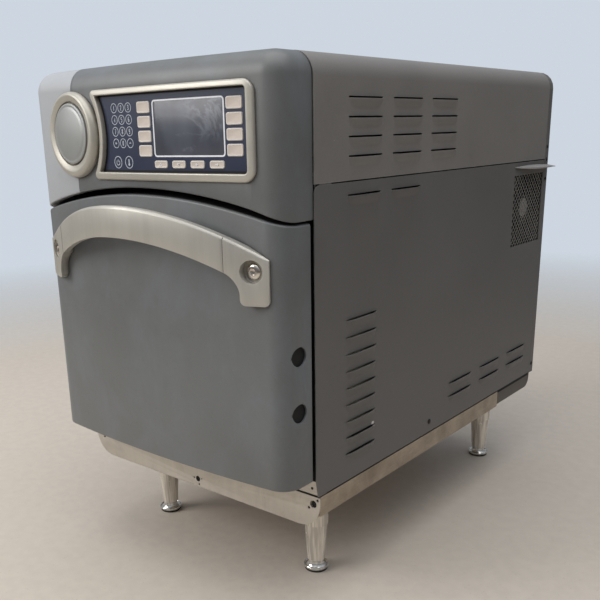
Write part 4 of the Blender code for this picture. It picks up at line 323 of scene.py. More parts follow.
def glassy(name):
    """The display: a dark blue-grey panel under a smeared, glossy window, with a painted
    reflection: a light band near its top right.
    """
    look = Look(name, (80, 84, 96), 0.3)
    sweep = look.noise(9, 3, 0.6, (1.0, 0.2, 0.55), 0.8)
    look.start(look.span(sweep, 0.42, 0.66), 0.72, 1.25)
    # Painted reflection: a light band near the top right.
    wisps = look.noise(14, 6, 0.66, (0.8, 1.0, 1.0), 1.0)
    reflection_band = look.times(look.span(wisps, 0.48, 0.52), look.span(wisps, 0.58, 0.53))
    right, top = look.span(look.axis("X"), 0.06, 0.095), look.span(look.axis("Z"), 0.545, 0.56)
    look.lay(look.times(reflection_band, look.times(right, top), 0.26), (158, 164, 176))
    smear = look.noise(60, 5, 0.75, (0.35, 1.0, 1.0), 0.5)
    look.lay(look.span(smear, 0.6, 0.78, 0, 0.5), (150, 156, 170))
    look.done(Roughness=look.span(smear, 0.3, 0.75, 0.26, 0.42))


def polished(name, colour, metallic, rough):
    """Bright metal with painted reflections: light and dark streaks that run up and down."""
    look = Look(name, colour, rough, metallic)
    reflection_streaks = look.noise(260, 2, 0.6, (1, 1, 0.02))
    look.start(look.span(reflection_streaks, 0.38, 0.62), 0.66, 1.12)
    fine = look.noise(2400, 2, 0.6, (1, 1, 0.03))
    look.lay(look.span(fine, 0.4, 0.7, 0, 0.18), 0.6)
    smudge = look.noise(90, 4, 0.7)
    look.lay(look.span(smudge, 0.55, 0.75, 0, 0.3), 0.7)
    look.done(Roughness=look.span(smudge, 0.3, 0.7, rough - 0.03, rough + 0.08))


def pan_metal(name):
    """The base pan: brushed metal with stains, its stepped rear end painted dark."""
    look = Look(name, (162, 150, 136), 0.36, 0.9)
    step = PAN_STEP_Y + SHIFT.y
    rear = look.span(look.axis("Y"), step, step + 0.001)
    grain = look.noise(1500, 3, 0.7, (0.03, 0.03, 1))
    clouds = look.noise(18, 5, 0.65)
    look.start(look.span(grain, 0.3, 0.7), 1.0, (186, 174, 158))
    look.lay(look.span(clouds, 0.45, 0.7, 0, 0.5), (118, 106, 93))
    look.specks(260, 0.16, 0.06, clouds, 0.5, (74, 60, 46))
    dark = look.mix(clouds, linear(52, 47, 42), linear(84, 76, 68))
    look.tone = look.mix(rear, look.tone, dark)
    look.bump(grain, 0.15, 0.00006)
    rough = look.span(clouds, 0.3, 0.7, 0.3, 0.44)
    look.done(Roughness=rough, Metallic=look.span(rear, 0, 1, 0.9, 0.1))


def framed(name):
    """The front frame: near black above, where it lines the gaps round the door: painted shade of
    the gaps; bare metal below it.
    """
    look = Look(name, (178, 171, 162), 0.42, 0.6)
    gap_shade_mask = look.span(look.axis("Z"), 0.1675, 0.1685)
    grain = look.noise(1600, 3, 0.7, (0.06, 0.06, 1))
    look.start(look.span(grain, 0.3, 0.7), 1.0, (204, 198, 189))
    # Painted shade: near black in the gaps round the door.
    dark = look.mix(look.noise(90, 3), linear(16, 15, 15), linear(26, 25, 24))
    look.tone = look.mix(gap_shade_mask, look.tone, dark)
    look.bump(grain, 0.2, 0.00008)
    look.done(Roughness=look.span(gap_shade_mask, 0, 1, 0.35, 0.8))


def make_materials():
    painted("grey_paint", (98, 96, 94), 0.5, 1100, corner_shade=0.5, chip=(0.199, -0.1503, 0.2078))
    painted("grey_moulding", (102, 104, 104), 0.42, 1000, 0.0001, painted_sheen=(122, 128, 137), corner_shade=0.7)
    painted("silver_moulding", (168, 171, 175), 0.44, 1600, 0.00005, 0.05, False, corner_shade=0.6)
    brushed("champagne", (186, 182, 172), 0.4, (0.05, 1, 1), 0.35, 0.06, corner_shade=0.8)
    upright = (1, 1, 0.04)
    brushed("handle_metal", (184, 181, 173), 0.38, upright, 0.38, 0.07, lines=520, corner_shade=0.9)
    brushed("stainless", (176, 168, 156), 0.34, (0.03, 0.03, 1), 0.95, 0.05, 0.3, 1500)
    pan_metal("pan_metal")
    brushed("skirt_metal", (196, 190, 181), 0.4, (1, 0.03, 0.05), 0.75, 0.05, 0.18, 1200)
    # The legs' light base colour is a painted reflection of the floor.
    polished("leg_metal", (236, 229, 217), 0.5, 0.2)
    polished("foot_chrome", (232, 230, 224), 0.75, 0.12)
    # Lighter than grey_paint: on the visor, painted light on the panel's paint; on the fan hub, the
    # disc's own colour.
    painted("hub_paint_and_visor_highlight", (150, 148, 145), 0.45, 1100)
    # Lighter than grey_paint: painted light on the top cover.
    painted("lit_cover_paint", (123, 120, 117), 0.48, 1100, corner_shade=0.5)
    brushed("chrome", (214, 208, 200), 0.16, (1, 1, 0.2), 1.0, 0.06)
    # The keys' light rims are a painted highlight.
    rim_highlight = (234, 232, 226)
    painted("cream_key", (200, 188, 178), 0.5, 1800, 0.00004, 0.06, False, rim_highlight=rim_highlight)
    glassy("display_glass")
    for row in (
        ("rubber", (34, 32, 30), 0.7, 900, 0.0001, 0.1),
        ("mesh_paint", (132, 129, 124), 0.5, 1200, 0.0001, 0.12),
        ("navy_film", (36, 45, 69), 0.36, 2200, 0.00003, 0.08),
        ("circuit_board", (42, 84, 58), 0.5, 900, 0.0001, 0.1),
        ("black_plastic", (30, 30, 31), 0.5, 1200, 0.0001, 0.12),
        # Darker than black_plastic: painted shade behind the vent.
        ("shaded_fan_black", (13, 13, 13), 0.6, 1200, 0.0001, 0.12),
        ("silicone", (150, 62, 48), 0.6, 800, 0.0001, 0.08),
        ("mineral_wool", (196, 188, 162), 0.9, 500, 0.0004, 0.14),
    ):
        painted(*row, chips=False)
    brushed("zinc_steel", (170, 172, 172), 0.38, (1, 0.2, 1), 1.0, 0.12, 0.1)
    brushed("disc_face", (162, 164, 163), 0.42, (1, 1, 1), 0.45, 0.04, 0.0, 500)
    framed("frame_metal")
    printed("white_print", (238, 240, 246))
    printed("grey_print", (186, 192, 202))
    brushed("dark_screw", (60, 57, 54), 0.4, (1, 1, 1), 0.8, 0.1)
    # Near black: for painted shade in gaps and behind slots, and for dark plugs.
    printed("shade_and_plug_black", (14, 13, 13), 0.1, 0.8)


# --- mesh helpers


def arc(centre, radius, start_deg, end_deg, steps):
    out = []
    for k in range(steps + 1):
        angle = math.radians(start_deg + (end_deg - start_deg) * k / steps)
        out.append((centre[0] + radius * math.cos(angle), centre[1] + radius * math.sin(angle)))
    return out


def circle(centre, radius, sides):
    return arc(centre, radius, 0, 360, sides)[:-1]


def rect(left, right, low, high):
    return [(left, low), (right, low), (right, high), (left, high)]


def round_rect(x, z, width, height, radius, grow=0.0, steps=6):
    """A rounded rectangle about (x, z), its sides moved out by grow."""
    half_x, half_z = width / 2 + grow, height / 2 + grow
    left, right, low, high = x - half_x, x + half_x, z - half_z, z + half_z
    return (
        arc((right - radius, low + radius), radius, -90, 0, steps)
        + arc((right - radius, high - radius), radius, 0, 90, steps)
        + arc((left + radius, high - radius), radius, 90, 180, steps)
        + arc((left + radius, low + radius), radius, 180, 270, steps)
    )


def loft(bm, rings, ring_closed=True, caps=True, loop=False):
    """Skins rings of equally many points, one after the other."""
    made = [[bm.verts.new(point) for point in ring] for ring in rings]
    count = len(rings[0])
    pairs = list(zip(made, made[1:])) + ([(made[-1], made[0])] if loop else [])
    for first, second in pairs:
        for k in range(count if ring_closed else count - 1):
            after = (k + 1) % count
            bm.faces.new((first[k], first[after], second[after], second[k]))
    if caps and not loop:
        bm.faces.new(made[0][::-1])
        bm.faces.new(made[-1])
    return made


def prism(bm, outline, axis, low, high):
    """A closed outline of two coordinates, drawn out along the third."""
    spot = "xyz".index(axis)
    rings = []
    for level in (low, high):
        ring = []
        for point in outline:
            values = list(point)
            values.insert(spot, level)
            ring.append(values)
        rings.append(ring)
    loft(bm, rings)


def side_prism(bm, outline, side, first, last):
    """A prism across x between two distances from the middle, on one side of the oven."""
    prism(bm, outline, "x", *sorted((side * first, side * last)))


def disc(bm, centre, axis, sign, profile, sides=40):
    """Turns (radius, height) pairs about the axis x or y, which points along its sign."""
    rings = []
    for radius, height in profile:
        ring = []
        for a, b in circle((0, 0), radius, sides):
            step = (sign * height, a, b) if axis == "x" else (a, sign * height, b)
            ring.append([start + move for start, move in zip(centre, step)])
        rings.append(ring)
    loft(bm, rings)


def mesh_object(name, bm, look=None, shift=SHIFT):
    """A mesh as it is, as an object in the frame of the CAD."""
    mesh = bpy.data.meshes.new(name)
    bm.to_mesh(mesh)
    bm.free()
    mesh.transform(Matrix.Translation(shift))
    obj = bpy.data.objects.new(name, mesh)
    bpy.context.scene.collection.objects.link(obj)
    if look:
        mesh.materials.append(MATERIALS[look])
    return obj


def smooth(obj, sharp):
    """Smooth shading, apart from edges that turn by more than an angle in degrees."""
    for polygon in obj.data.polygons:
        polygon.use_smooth = True
    obj.data.set_sharp_from_angle(angle=math.radians(sharp))
    return obj


def object_from(name, bm, look=None, sharp=35, shift=SHIFT):
    bmesh.ops.remove_doubles(bm, verts=bm.verts, dist=1e-6)
    bmesh.ops.recalc_face_normals(bm, faces=bm.faces)
    return smooth(mesh_object(name, bm, look, shift), sharp)


def outward(bm):
    """Turns an open skin so that its faces look away from the middle of the oven."""
    bmesh.ops.recalc_face_normals(bm, faces=bm.faces)
    middle = Vector((0, 0.3, 0.35))
    total = sum(
        face.normal.dot(face.calc_center_median() - middle) * face.calc_area() for face in bm.faces
    )
    if total < 0:
        bmesh.ops.reverse_faces(bm, faces=bm.faces)
    return bm


def bake(obj, sharp=35):
    """Puts the modifiers' result into the mesh."""
    graph = bpy.context.evaluated_depsgraph_get()
    mesh = bpy.data.meshes.new_from_object(obj.evaluated_get(graph))
    obj.modifiers.clear()
    obj.data = mesh
    return smooth(obj, sharp)


def modify(obj, kind, **settings):
    modifier = obj.modifiers.new(kind.lower(), kind)
    for key, value in settings.items():
        setattr(modifier, key, value)


def solidify(obj, thickness):
    modify(obj, "SOLIDIFY", thickness=thickness, offset=-1, use_even_offset=True)


def bevel(obj, width, segments=2, angle=35, sharp=35):
    limit = {"limit_method": "ANGLE", "angle_limit": math.radians(angle)}
    modify(obj, "BEVEL", width=width, segments=segments, **limit)
    bake(obj, sharp)


def cut(obj, bm, operation="DIFFERENCE"):
    """Cuts obj by a closed mesh and keeps the result."""
    tool = object_from(obj.name + "_tool", bm)
    modify(obj, "BOOLEAN", operation=operation, solver="EXACT", object=tool)
    bake(obj)
    bpy.data.objects.remove(tool)


def place(obj, body, slot, *nodes):
    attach(obj, body)
    if nodes:
        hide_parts(*nodes)


def fit(name, bm, look, body, slot, *nodes, sharp=35):
    place(object_from(name, bm, look, sharp), body, slot, *nodes)


def piece(name, rings, look, body, slot, *nodes, sharp=35, loop=False):
    """Lofts rings into a new object and puts it in its place."""
    bm = bmesh.new()
    loft(bm, rings, loop=loop)
    fit(name, bm, look, body, slot, *nodes, sharp=sharp)


# --- shapes of the bowed front


def front_y(x):
    return FRONT_BOW * (x / FRONT_HALF) ** 2 - FRONT_REACH


def arch_z(x, middle):
    return middle - ARCH_DROP * (x / FRONT_HALF) ** 2


def front_outline(inset, rear_y, steps=56, corner=12):
    """The bowed front seen from above, from its left rear end round to the right one."""
    half = FRONT_HALF - inset
    radius = FRONT_CORNER - inset
    flat = half - radius
    front = []
    for k in range(1, steps):
        x = -flat + 2 * flat * k / steps
        front.append((x, front_y(x) + inset))
    centre_y = front_y(flat) + inset + radius
    left = arc((-flat, centre_y), radius, 180, 270, corner)
    right = arc((flat, centre_y), radius, 270, 360, corner)
    return [(-half, rear_y)] + left + front + right + [(half, rear_y)]


def front_ring(inset, rear_y, height):
    return [(x, y, height(x)) for x, y in front_outline(inset, rear_y)]


def hood_lip(x):
    """The hood's lower edge, which drops a little more at the corners."""
    return arch_z(x, HOOD_LIP_Z) - 0.0045 * (x / FRONT_HALF) ** 8


# (inset, rise) pairs round the edges of the hood and the door
ROUND_TURNS = [math.radians(90 * k / 4) for k in range(5)]
ROUNDING = [(EDGE_ROUND * (1 - math.sin(a)), EDGE_ROUND * (1 - math.cos(a))) for a in ROUND_TURNS]


def hood_skin():
    rear = -GAP
    rings = [front_ring(RETURN_LIP, rear, hood_lip)]
    for inset, rise in ROUNDING:
        rings.append(front_ring(inset, rear, lambda x, r=rise: hood_lip(x) + r))
    for inset, rise in arc((TOP_ROUND, 0), TOP_ROUND, 180, 90, 14):
        height = HEIGHT - TOP_ROUND + rise
        rings.append(front_ring(min(inset, FRONT_CORNER - GAP), rear, lambda x, z=height: z))
    bm = bmesh.new()
    made = loft(bm, rings, ring_closed=False, caps=False)
    bm.faces.new(made[-1])
    return outward(bm)


def hood_part(name, look, keep_above, plane_x):
    """The part of the hood's skin on one side of a plane across x."""
    bm = hood_skin()
    bmesh.ops.bisect_plane(
        bm,
        geom=bm.verts[:] + bm.edges[:] + bm.faces[:],
        plane_co=(plane_x, 0, 0),
        plane_no=(1, 0, 0),
        clear_inner=keep_above,
        clear_outer=not keep_above,
        dist=1e-7,
    )
    return mesh_object(name, bm, look)


def bezel_outline(inset, steps=30, corner=10):
    """The bezel's edge: round corners on the right, hollowed on the left to clear the badge."""
    right = BEZEL_RIGHT - inset
    low, high = BEZEL_BOTTOM + inset, BEZEL_TOP - 0.74 * inset
    radius = max(0.014 - 1.2 * inset, 0.003)
    small = max(0.0055 - inset, 0.001)
    reach = HOLLOW_RADIUS + inset + small
    rise, fall = high - small - BADGE_Z, BADGE_Z - low - small
    rise_deg = math.degrees(math.asin(rise / reach))
    fall_deg = math.degrees(math.asin(fall / reach))
    top_x = HOLLOW_X + math.sqrt(reach**2 - rise**2)
    low_x = HOLLOW_X + math.sqrt(reach**2 - fall**2)
    flat = right - radius
    hollow = arc((HOLLOW_X, BADGE_Z), HOLLOW_RADIUS + inset, rise_deg, -fall_deg, 28)
    return (
        [(low_x + (flat - low_x) * k / steps, low) for k in range(steps)]
        + arc((flat, low + radius), radius, -90, 0, corner)
        + arc((flat, high - radius), radius, 0, 90, corner)
        + [(flat + (top_x - flat) * k / steps, high) for k in range(1, steps + 1)]
        + arc((top_x, high - small), small, 90, 180 + rise_deg, corner)[1:]
        + hollow[1:-1]
        + arc((low_x, low + small), small, 180 - fall_deg, 270, corner)[:-1]
    )


def bent(points, depth):
    """Points (x, z) laid on the bowed front, depth behind it."""
    return [(x, front_y(x) + depth, z) for x, z in points]


def front_seat(x, z, lean=0.0):
    """The place of (x, z) on the bowed front and its turn, less a lean in degrees."""
    turn = math.atan(2 * FRONT_BOW * x / FRONT_HALF**2) - math.radians(lean)
    return Matrix.Translation((x, front_y(x), z)) @ Matrix.Rotation(turn, 4, "Z")


def lifted(seat, points, height):
    """Points (x, z) of a seat's plane, a height in front of it."""
    return [seat @ Vector((x, -height, z)) for x, z in points]


def build_hood():
    hood = hood_part("hood_shell", "grey_moulding", True, CAP_EDGE_X)
    cap = hood_part("cap_shell", "silver_moulding", False, CAP_EDGE_X - CAP_GAP)
    solidify(hood, WALL)
    solidify(cap, WALL)
    opening = bmesh.new()
    prism(opening, bezel_outline(BEZEL_BORDER - BEZEL_WALL - GAP), "y", -0.064, -0.03)
    cut(hood, opening)
    bevel(hood, 0.0004, angle=50)
    bevel(cap, 0.0004, angle=50)
    place(hood, "oven", "grey_moulding", "front_hood")
    place(cap, "oven", "silver_moulding", "end_cap")


def build_badge():
    """The ring, which swells from the hood to a flat seat, and the plain domed disc in it."""
    seat, sides = front_seat(BADGE_X, BADGE_Z, 2.5), 96

    def on_hood(radius, height):
        points = circle((BADGE_X, BADGE_Z), radius, sides)
        return [Vector((x, front_y(x) - height, z)) for x, z in points]

    def flat(radius, height):
        return lifted(seat, circle((0, 0.0016), radius, sides), height)

    rings = [on_hood(BADGE_RADIUS - 0.0004, GAP), on_hood(BADGE_RADIUS, 0.0008)]
    first, last = on_hood(BADGE_RADIUS, 0.0018), flat(0.0434, 0.0085)
    rings.append(first)
    for k in range(1, 12):
        angle = math.radians(90 * k / 12)
        shares = (1 - math.cos(angle), math.sin(angle), 1 - math.cos(angle))
        rings.append([
            Vector([start + (end - start) * share for start, end, share in zip(a, b, shares)])
            for a, b in zip(first, last)
        ])
    rings += [last, flat(0.0428, 0.0084), flat(0.0370, 0.0068), flat(0.0366, 0.0065)]
    rings += [flat(0.0365, 0.0062), flat(0.0365, 0.004), flat(0.018, 0.004), flat(0.018, 0.001)]
    piece("badge_bevel", rings, "champagne", "oven", "champagne", "badge_ring", loop=True)

    radius, edge, corner = 0.0345, 0.0080, 0.0012
    rings = [flat(0.0177, 0.001), flat(0.0177, 0.0043), flat(radius, 0.0043)]
    rings.append(flat(radius, edge - corner))
    for x, z in arc((0, 0), corner, 15, 90, 5):
        rings.append(flat(radius - corner + x, edge - corner + z))
    for share in (0.93, 0.905, 0.88, 0.85, 0.8, 0.72, 0.62, 0.5, 0.38, 0.26, 0.14, 0.05):
        dip = 0.0007 * math.exp(-(((share - 0.89) / 0.03) ** 2))
        rings.append(flat(radius * share, edge + 0.003 * (1 - share**2) - dip))
    piece("badge_dome", rings, "disc_face", "oven", "silver_moulding", "badge_disc")


def build_bezel():
    """A frame that rises from the hood to a crest near its window, then drops to the film."""
    profile = [(0.0, -GAP), (0.0, -0.0019), (0.0004, -0.0028), (0.0011, -0.0034), (0.0022, -0.0038)]
    profile += [(0.0040, -0.0042), (0.0058, -0.0045), (0.0070, -0.0046), (0.0076, -0.0046)]
    profile += [(0.0081, -0.0044), (0.0084, -0.0039), (0.0085, -0.0032)]
    profile += [(0.0085, 0.0048), (0.0071, 0.0048), (0.0071, -GAP)]
    rings = [bent(bezel_outline(inset), depth) for inset, depth in profile]
    spot = ("oven", "champagne", "control_bezel")
    piece("bezel_frame", rings, "champagne", *spot, sharp=40, loop=True)


def build_film_shadow():
    """A near-black strip between the frame and the film: painted shadow of the frame's inner wall.
    """
    profile = rect(
        BEZEL_BORDER - 0.0002, BEZEL_BORDER + 0.0026, MEMBRANE_FACE - 0.0002, MEMBRANE_FACE + 0.0002
    )
    rings = [bent(bezel_outline(inset), depth) for inset, depth in profile]
    piece("film_shadow_strip", rings, "shade_and_plug_black", "oven", "black_plastic", loop=True)


def key_places():
    """Each key's name, centre x and z, width and height."""
    keys = []
    for row in range(4):
        z = SOFT_KEY_TOP - row * SOFT_KEY_STEP
        for word, x in (("left", SOFT_KEY_LEFT), ("right", SOFT_KEY_RIGHT)):
            keys.append((f"soft_key_{word}_{row + 1}", x, z, *SOFT_KEY_SIZE))
    for column, word in enumerate(("up", "down", "back", "enter")):
        x = ARROW_KEY_LEFT + column * ARROW_KEY_STEP
        keys.append((f"arrow_key_{word}", x, ARROW_KEY_Z, *ARROW_KEY_SIZE))
    return keys


def build_keys():
    """Cream pads with a raised edge and a slightly hollow middle."""
    top = MEMBRANE_FACE - 0.0011
    steps = [(-0.0008, 0.0037), (-0.0008, 0.0027), (0, 0.0027), (0, top + 0.0007)]
    steps += [(0.0003, top + 0.0002), (0.0008, top), (0.0013, top + 0.0001), (0.0020, top + 0.0003)]
    for name, *spot in key_places():
        rings = []
        for inset, depth in steps:
            rings.append(bent(round_rect(*spot, max(0.0024 - inset, 0.0006), -inset), depth))
        pad = name.replace("key", "pad")
        piece(pad, rings, "cream_key", name, "cream_key", name, sharp=45)


def bowed_slab(bm, left, right, low, high, front, back, steps=60):
    sections = []
    for k in range(steps + 1):
        x = left + (right - left) * k / steps
        y = front_y(x)
        sections.append([(x, y + depth, z) for z, depth in rect(low, high, front, back)])
    loft(bm, sections)


def build_membrane():
    bm = bmesh.new()
    back = MEMBRANE_FACE + MEMBRANE
    bowed_slab(bm, BEZEL_LEFT, BEZEL_RIGHT, BEZEL_BOTTOM, BEZEL_TOP, MEMBRANE_FACE, back)
    film = object_from("keypad_film", bm, "navy_film")
    trim, windows = bmesh.new(), bmesh.new()
    prism(trim, bezel_outline(BEZEL_BORDER + GAP), "y", *CUT_DEPTHS)
    cut(film, trim, "INTERSECT")
    for spot in [(*key[1:], 0.0026) for key in key_places()] + [(*DISPLAY, 0.001)]:
        prism(windows, round_rect(*spot, GAP, 5), "y", *CUT_DEPTHS)
    cut(film, windows)
    place(film, "oven", "navy_film", "keypad_membrane")


def build_display():
    x, z, width, height = DISPLAY
    sides = (x - width / 2, x + width / 2, z - height / 2, z + height / 2)
    bm = bmesh.new()
    bowed_slab(bm, *sides, MEMBRANE_FACE, 0.009, 24)
    window = object_from("display_window", bm, "display_glass")
    bevel(window, 0.0003)
    place(window, "oven", "display_glass", "display")


# The strokes of the marks on the keys: x z pairs in hundredths, a slash between strokes
MARKS = {
    "1": "-45 55 0 100 0 -100",
    "2": "-50 60 -30 95 20 100 50 65 40 20 -50 -100 55 -100",
    "3": "-50 80 0 100 45 75 40 25 0 0 45 -25 50 -70 0 -100 -50 -80",
    "4": "30 -100 30 100 -50 -40 60 -40",
    "5": "50 100 -40 100 -45 15 10 25 50 -10 45 -75 0 -100 -50 -80",
    "6": "45 80 0 100 -40 60 -50 -40 -20 -100 30 -95 50 -45 30 5 -20 10 -46 -30",
    "7": "-50 100 50 100 -10 -100",
    "8": "0 5 -40 45 -30 90 0 100 30 90 40 45 0 5 -50 -45 -30 -95 30 -95 50 -45 5 0",
    "9": "-45 -80 0 -100 40 -60 50 40 20 100 -30 95 -50 45 -30 -5 20 -10 46 30",
    "0": "50 0 35 80 0 100 -35 80 -50 0 -35 -80 0 -100 35 -80 50 -5",
    "left": "80 0 -80 0/-15 50 -80 0 -15 -50",
    "dash": "-90 0 90 0/0 45 0 20",
    "up": "-90 -60 0 70 90 -60 -90 -60",
    "down": "-90 60 0 -70 90 60 -90 60",
    "back": "90 0 -90 0/-30 80 -90 0 -30 -80",
    "enter": "-90 0 90 0/30 80 90 0 30 -80",
}
KEY_FACES = ("123", "456", "789", ("left", "0", "dash"))
NUMBER_X, NUMBER_Z, NUMBER_STEP_X, NUMBER_STEP_Z = -0.0328, 0.5845, 0.0122, 0.0126
ROUND_X, ROUND_Z, ROUND_STEP, ROUND_RADIUS = -0.0319, 0.526, 0.0191, 0.0064


def trace(bm, points, width, closed=False, lift=0.00025, under=MEMBRANE_FACE):
    """A flat printed line along points (x, z) on the bowed front."""
    count = len(points)
    rings = []
    for k, (x, z) in enumerate(points):
        before = points[k - 1] if closed else points[max(k - 1, 0)]
        after = points[(k + 1) % count] if closed else points[min(k + 1, count - 1)]
        run_x, run_z = after[0] - before[0], after[1] - before[1]
        length = math.hypot(run_x, run_z)
        side_x, side_z = -run_z / length * width / 2, run_x / length * width / 2
        corners = []
        for sign, depth in ((1, under - lift), (-1, under - lift), (-1, under), (1, under)):
            px = x + sign * side_x
            corners.append((px, front_y(px) + depth, z + sign * side_z))
        rings.append(corners)
    loft(bm, rings, loop=closed)


def trace_mark(bm, mark, x, z, width, height, *line):
    """The strokes of a mark about (x, z), width and height being half of its size."""
    for stroke in MARKS[mark].split("/"):
        steps = [int(value) / 100 for value in stroke.split()]
        points = [(x + width * a, z + height * b) for a, b in zip(steps[::2], steps[1::2])]
        trace(bm, points, *line)


def build_print():
    """Rings and generic marks on the number keys and round keys, and the line round the display."""
    bm = bmesh.new()
    for row, faces in enumerate(KEY_FACES):
        for column, face in enumerate(faces):
            x, z = NUMBER_X + column * NUMBER_STEP_X, NUMBER_Z - row * NUMBER_STEP_Z
            trace(bm, circle((x, z), 0.0049, 40), 0.0007, True)
            trace_mark(bm, face, x, z, 0.0017, 0.0025, 0.0008)
    left, right = ROUND_X, ROUND_X + ROUND_STEP
    for x in (left, right):
        trace(bm, circle((x, ROUND_Z), ROUND_RADIUS, 48), 0.0008, True)
    trace(bm, arc((left, ROUND_Z - 0.0004), 0.0027, 128, 412, 16), 0.0008)
    trace(bm, [(left, ROUND_Z + 0.0032), (left, ROUND_Z + 0.0002)], 0.0008)
    trace(bm, [(right, ROUND_Z + 0.0034), (right, ROUND_Z - 0.002)], 0.0016)
    trace(bm, circle((right, ROUND_Z - 0.0024), 0.0008, 12), 0.0015, True)
    fit("keypad_print", bm, "grey_print", "oven", "navy_film", sharp=60)

    outline = round_rect(*DISPLAY, 0.0032, 0.0007)
    line = []
    for start, end in zip(outline, outline[1:] + outline[:1]):
        steps = max(1, round(math.dist(start, end) / 0.004))
        line += [tuple(a + (b - a) * k / steps for a, b in zip(start, end)) for k in range(steps)]
    bm = bmesh.new()
    trace(bm, line, 0.0016, True, 0.0003)
    fit("display_line", bm, "white_print", "oven", "navy_film", sharp=60)

    for name, x, z, *_ in key_places():
        if name.startswith("arrow"):
            word = name.split("_")[-1]
            bm = bmesh.new()
            line = (0.0007, False, 0.0004, MEMBRANE_FACE - 0.0010)
            trace_mark(bm, word, x, z, 0.0019, 0.0014, *line)
            fit(f"arrow_mark_{word}", bm, "white_print", name, "cream_key", sharp=60)


# --- door and handle


def door_top(x):
    return arch_z(x, DOOR_TOP_Z)


def build_door():
    """The door's skin with its side holes and the hinge arms' notches, and a dark strip on its top:
    painted shade of the gap above the door.
    """
    rings = [front_ring(RETURN_LIP, DOOR_REAR, lambda x: DOOR_BOTTOM)]
    rings += [front_ring(i, DOOR_REAR, lambda x, r=r: DOOR_BOTTOM + r) for i, r in ROUNDING]
    for share in (0.25, 0.5, 0.75):
        ring = front_outline(0, DOOR_REAR)
        rings.append([(x, y, DOOR_BOTTOM + (door_top(x) - DOOR_BOTTOM) * share) for x, y in ring])
    rings += [front_ring(i, DOOR_REAR, lambda x, r=r: door_top(x) - r) for i, r in ROUNDING[::-1]]
    rings.append(front_ring(RETURN_LIP, DOOR_REAR, door_top))
    bm = bmesh.new()
    loft(bm, rings, ring_closed=False, caps=False)
    door = mesh_object("door_shell", outward(bm), "grey_moulding")
    solidify(door, WALL)
    holes, notches = bmesh.new(), bmesh.new()
    for z in DOOR_HOLES_Z:
        for side in (-1, 1):
            hole = circle((DOOR_HOLE_Y, z), 0.011, 40)
            side_prism(holes, hole, side, 0.1963, HALF + 0.004)
    cut(door, holes)
    for side in (-1, 1):
        notch = rect(-0.0245, 0.004, DOOR_BOTTOM - 0.004, 0.1935)
        side_prism(notches, notch, side, 0.1808, 0.1891)
    cut(door, notches)
    bevel(door, 0.0005, angle=50)
    place(door, "door", "grey_moulding", "door_skin")
    # A dark strip on the door's top: painted shade of the gap under the hood.
    rings = []
    for x, y in front_outline(0.0030, DOOR_REAR)[1:-1]:
        z = door_top(x) - 0.0001
        rings.append([(x, y, z), (x, y, z + 0.0006), (x, DOOR_REAR, z + 0.0006), (x, DOOR_REAR, z)])
    piece("door_top_shade_strip", rings, "black_plastic", "door", "black_plastic")


def handle_front(x):
    return front_y(x) - 0.0414 + 0.0392 * abs(x / HANDLE_HALF) ** 1.55


def handle_top(x):
    return 0.4816 - 0.0513 * (x / HANDLE_HALF) ** 2


def handle_low(x):
    return 0.4469 - 0.0558 * (x / HANDLE_HALF) ** 2


def handle_section(x, low, high, crest, back, shrink=0.0):
    """A section of the handle. crest is the back of its top edge, back that of its foot."""
    front = handle_front(x) + shrink
    depth = crest - front
    chamfer = min(0.0022, depth * 0.5)
    edge = min(0.0008, depth * 0.15)
    return [
        (x, back, low + edge),
        (x, back - edge, low),
        (x, front + 1.5 * edge, low),
        (x, front + 0.4 * edge, low + 0.4 * edge),
        (x, front, low + 1.5 * edge),
        (x, front, (low + high) / 2),
        (x, front, high - chamfer - edge),
        (x, front + 0.3 * edge, high - chamfer),
        (x, front + chamfer - 0.2 * edge, high - 0.2 * edge),
        (x, front + chamfer + 0.6 * edge, high),
        (x, crest - edge, high),
        (x, crest, high - edge),
        (x, back, high - 0.0275),
    ]


def build_handle_bar():
    reach = HANDLE_SPLIT - GAP
    stations = [(-reach, 0.0003), (-reach + 0.0004, 0.0)]
    stations += [((2 * reach - 0.0008) * (k / 96 - 0.5), 0.0) for k in range(1, 96)]
    stations += [(reach - 0.0004, 0.0), (reach, 0.0003)]
    sections = []
    for x, shrink in stations:
        back = handle_front(x) + CREST_BACK
        low, high = handle_low(x) + shrink, handle_top(x) - shrink
        sections.append(handle_section(x, low, high, back, back, shrink))
    piece("handle_grip", sections, "handle_metal", "door", "champagne", "handle_bar", sharp=30)


def foot_low(x):
    """The lower edge of an end bracket: a fillet down from the bar, then a foot with round ends."""
    if x < FILLET_X:
        return handle_low(x)
    if x < FOOT_INNER:
        share = (x - FILLET_X) / FILLET
        return handle_low(x) - FILLET * (1 - math.sqrt(max(0, 1 - share**2)))
    inside = min(x - FOOT_INNER, HANDLE_HALF - x)
    share = max(0, 1 - inside / FOOT_ROUND)
    return FOOT_LOW + FOOT_ROUND * (1 - math.sqrt(max(0, 1 - share**2)))


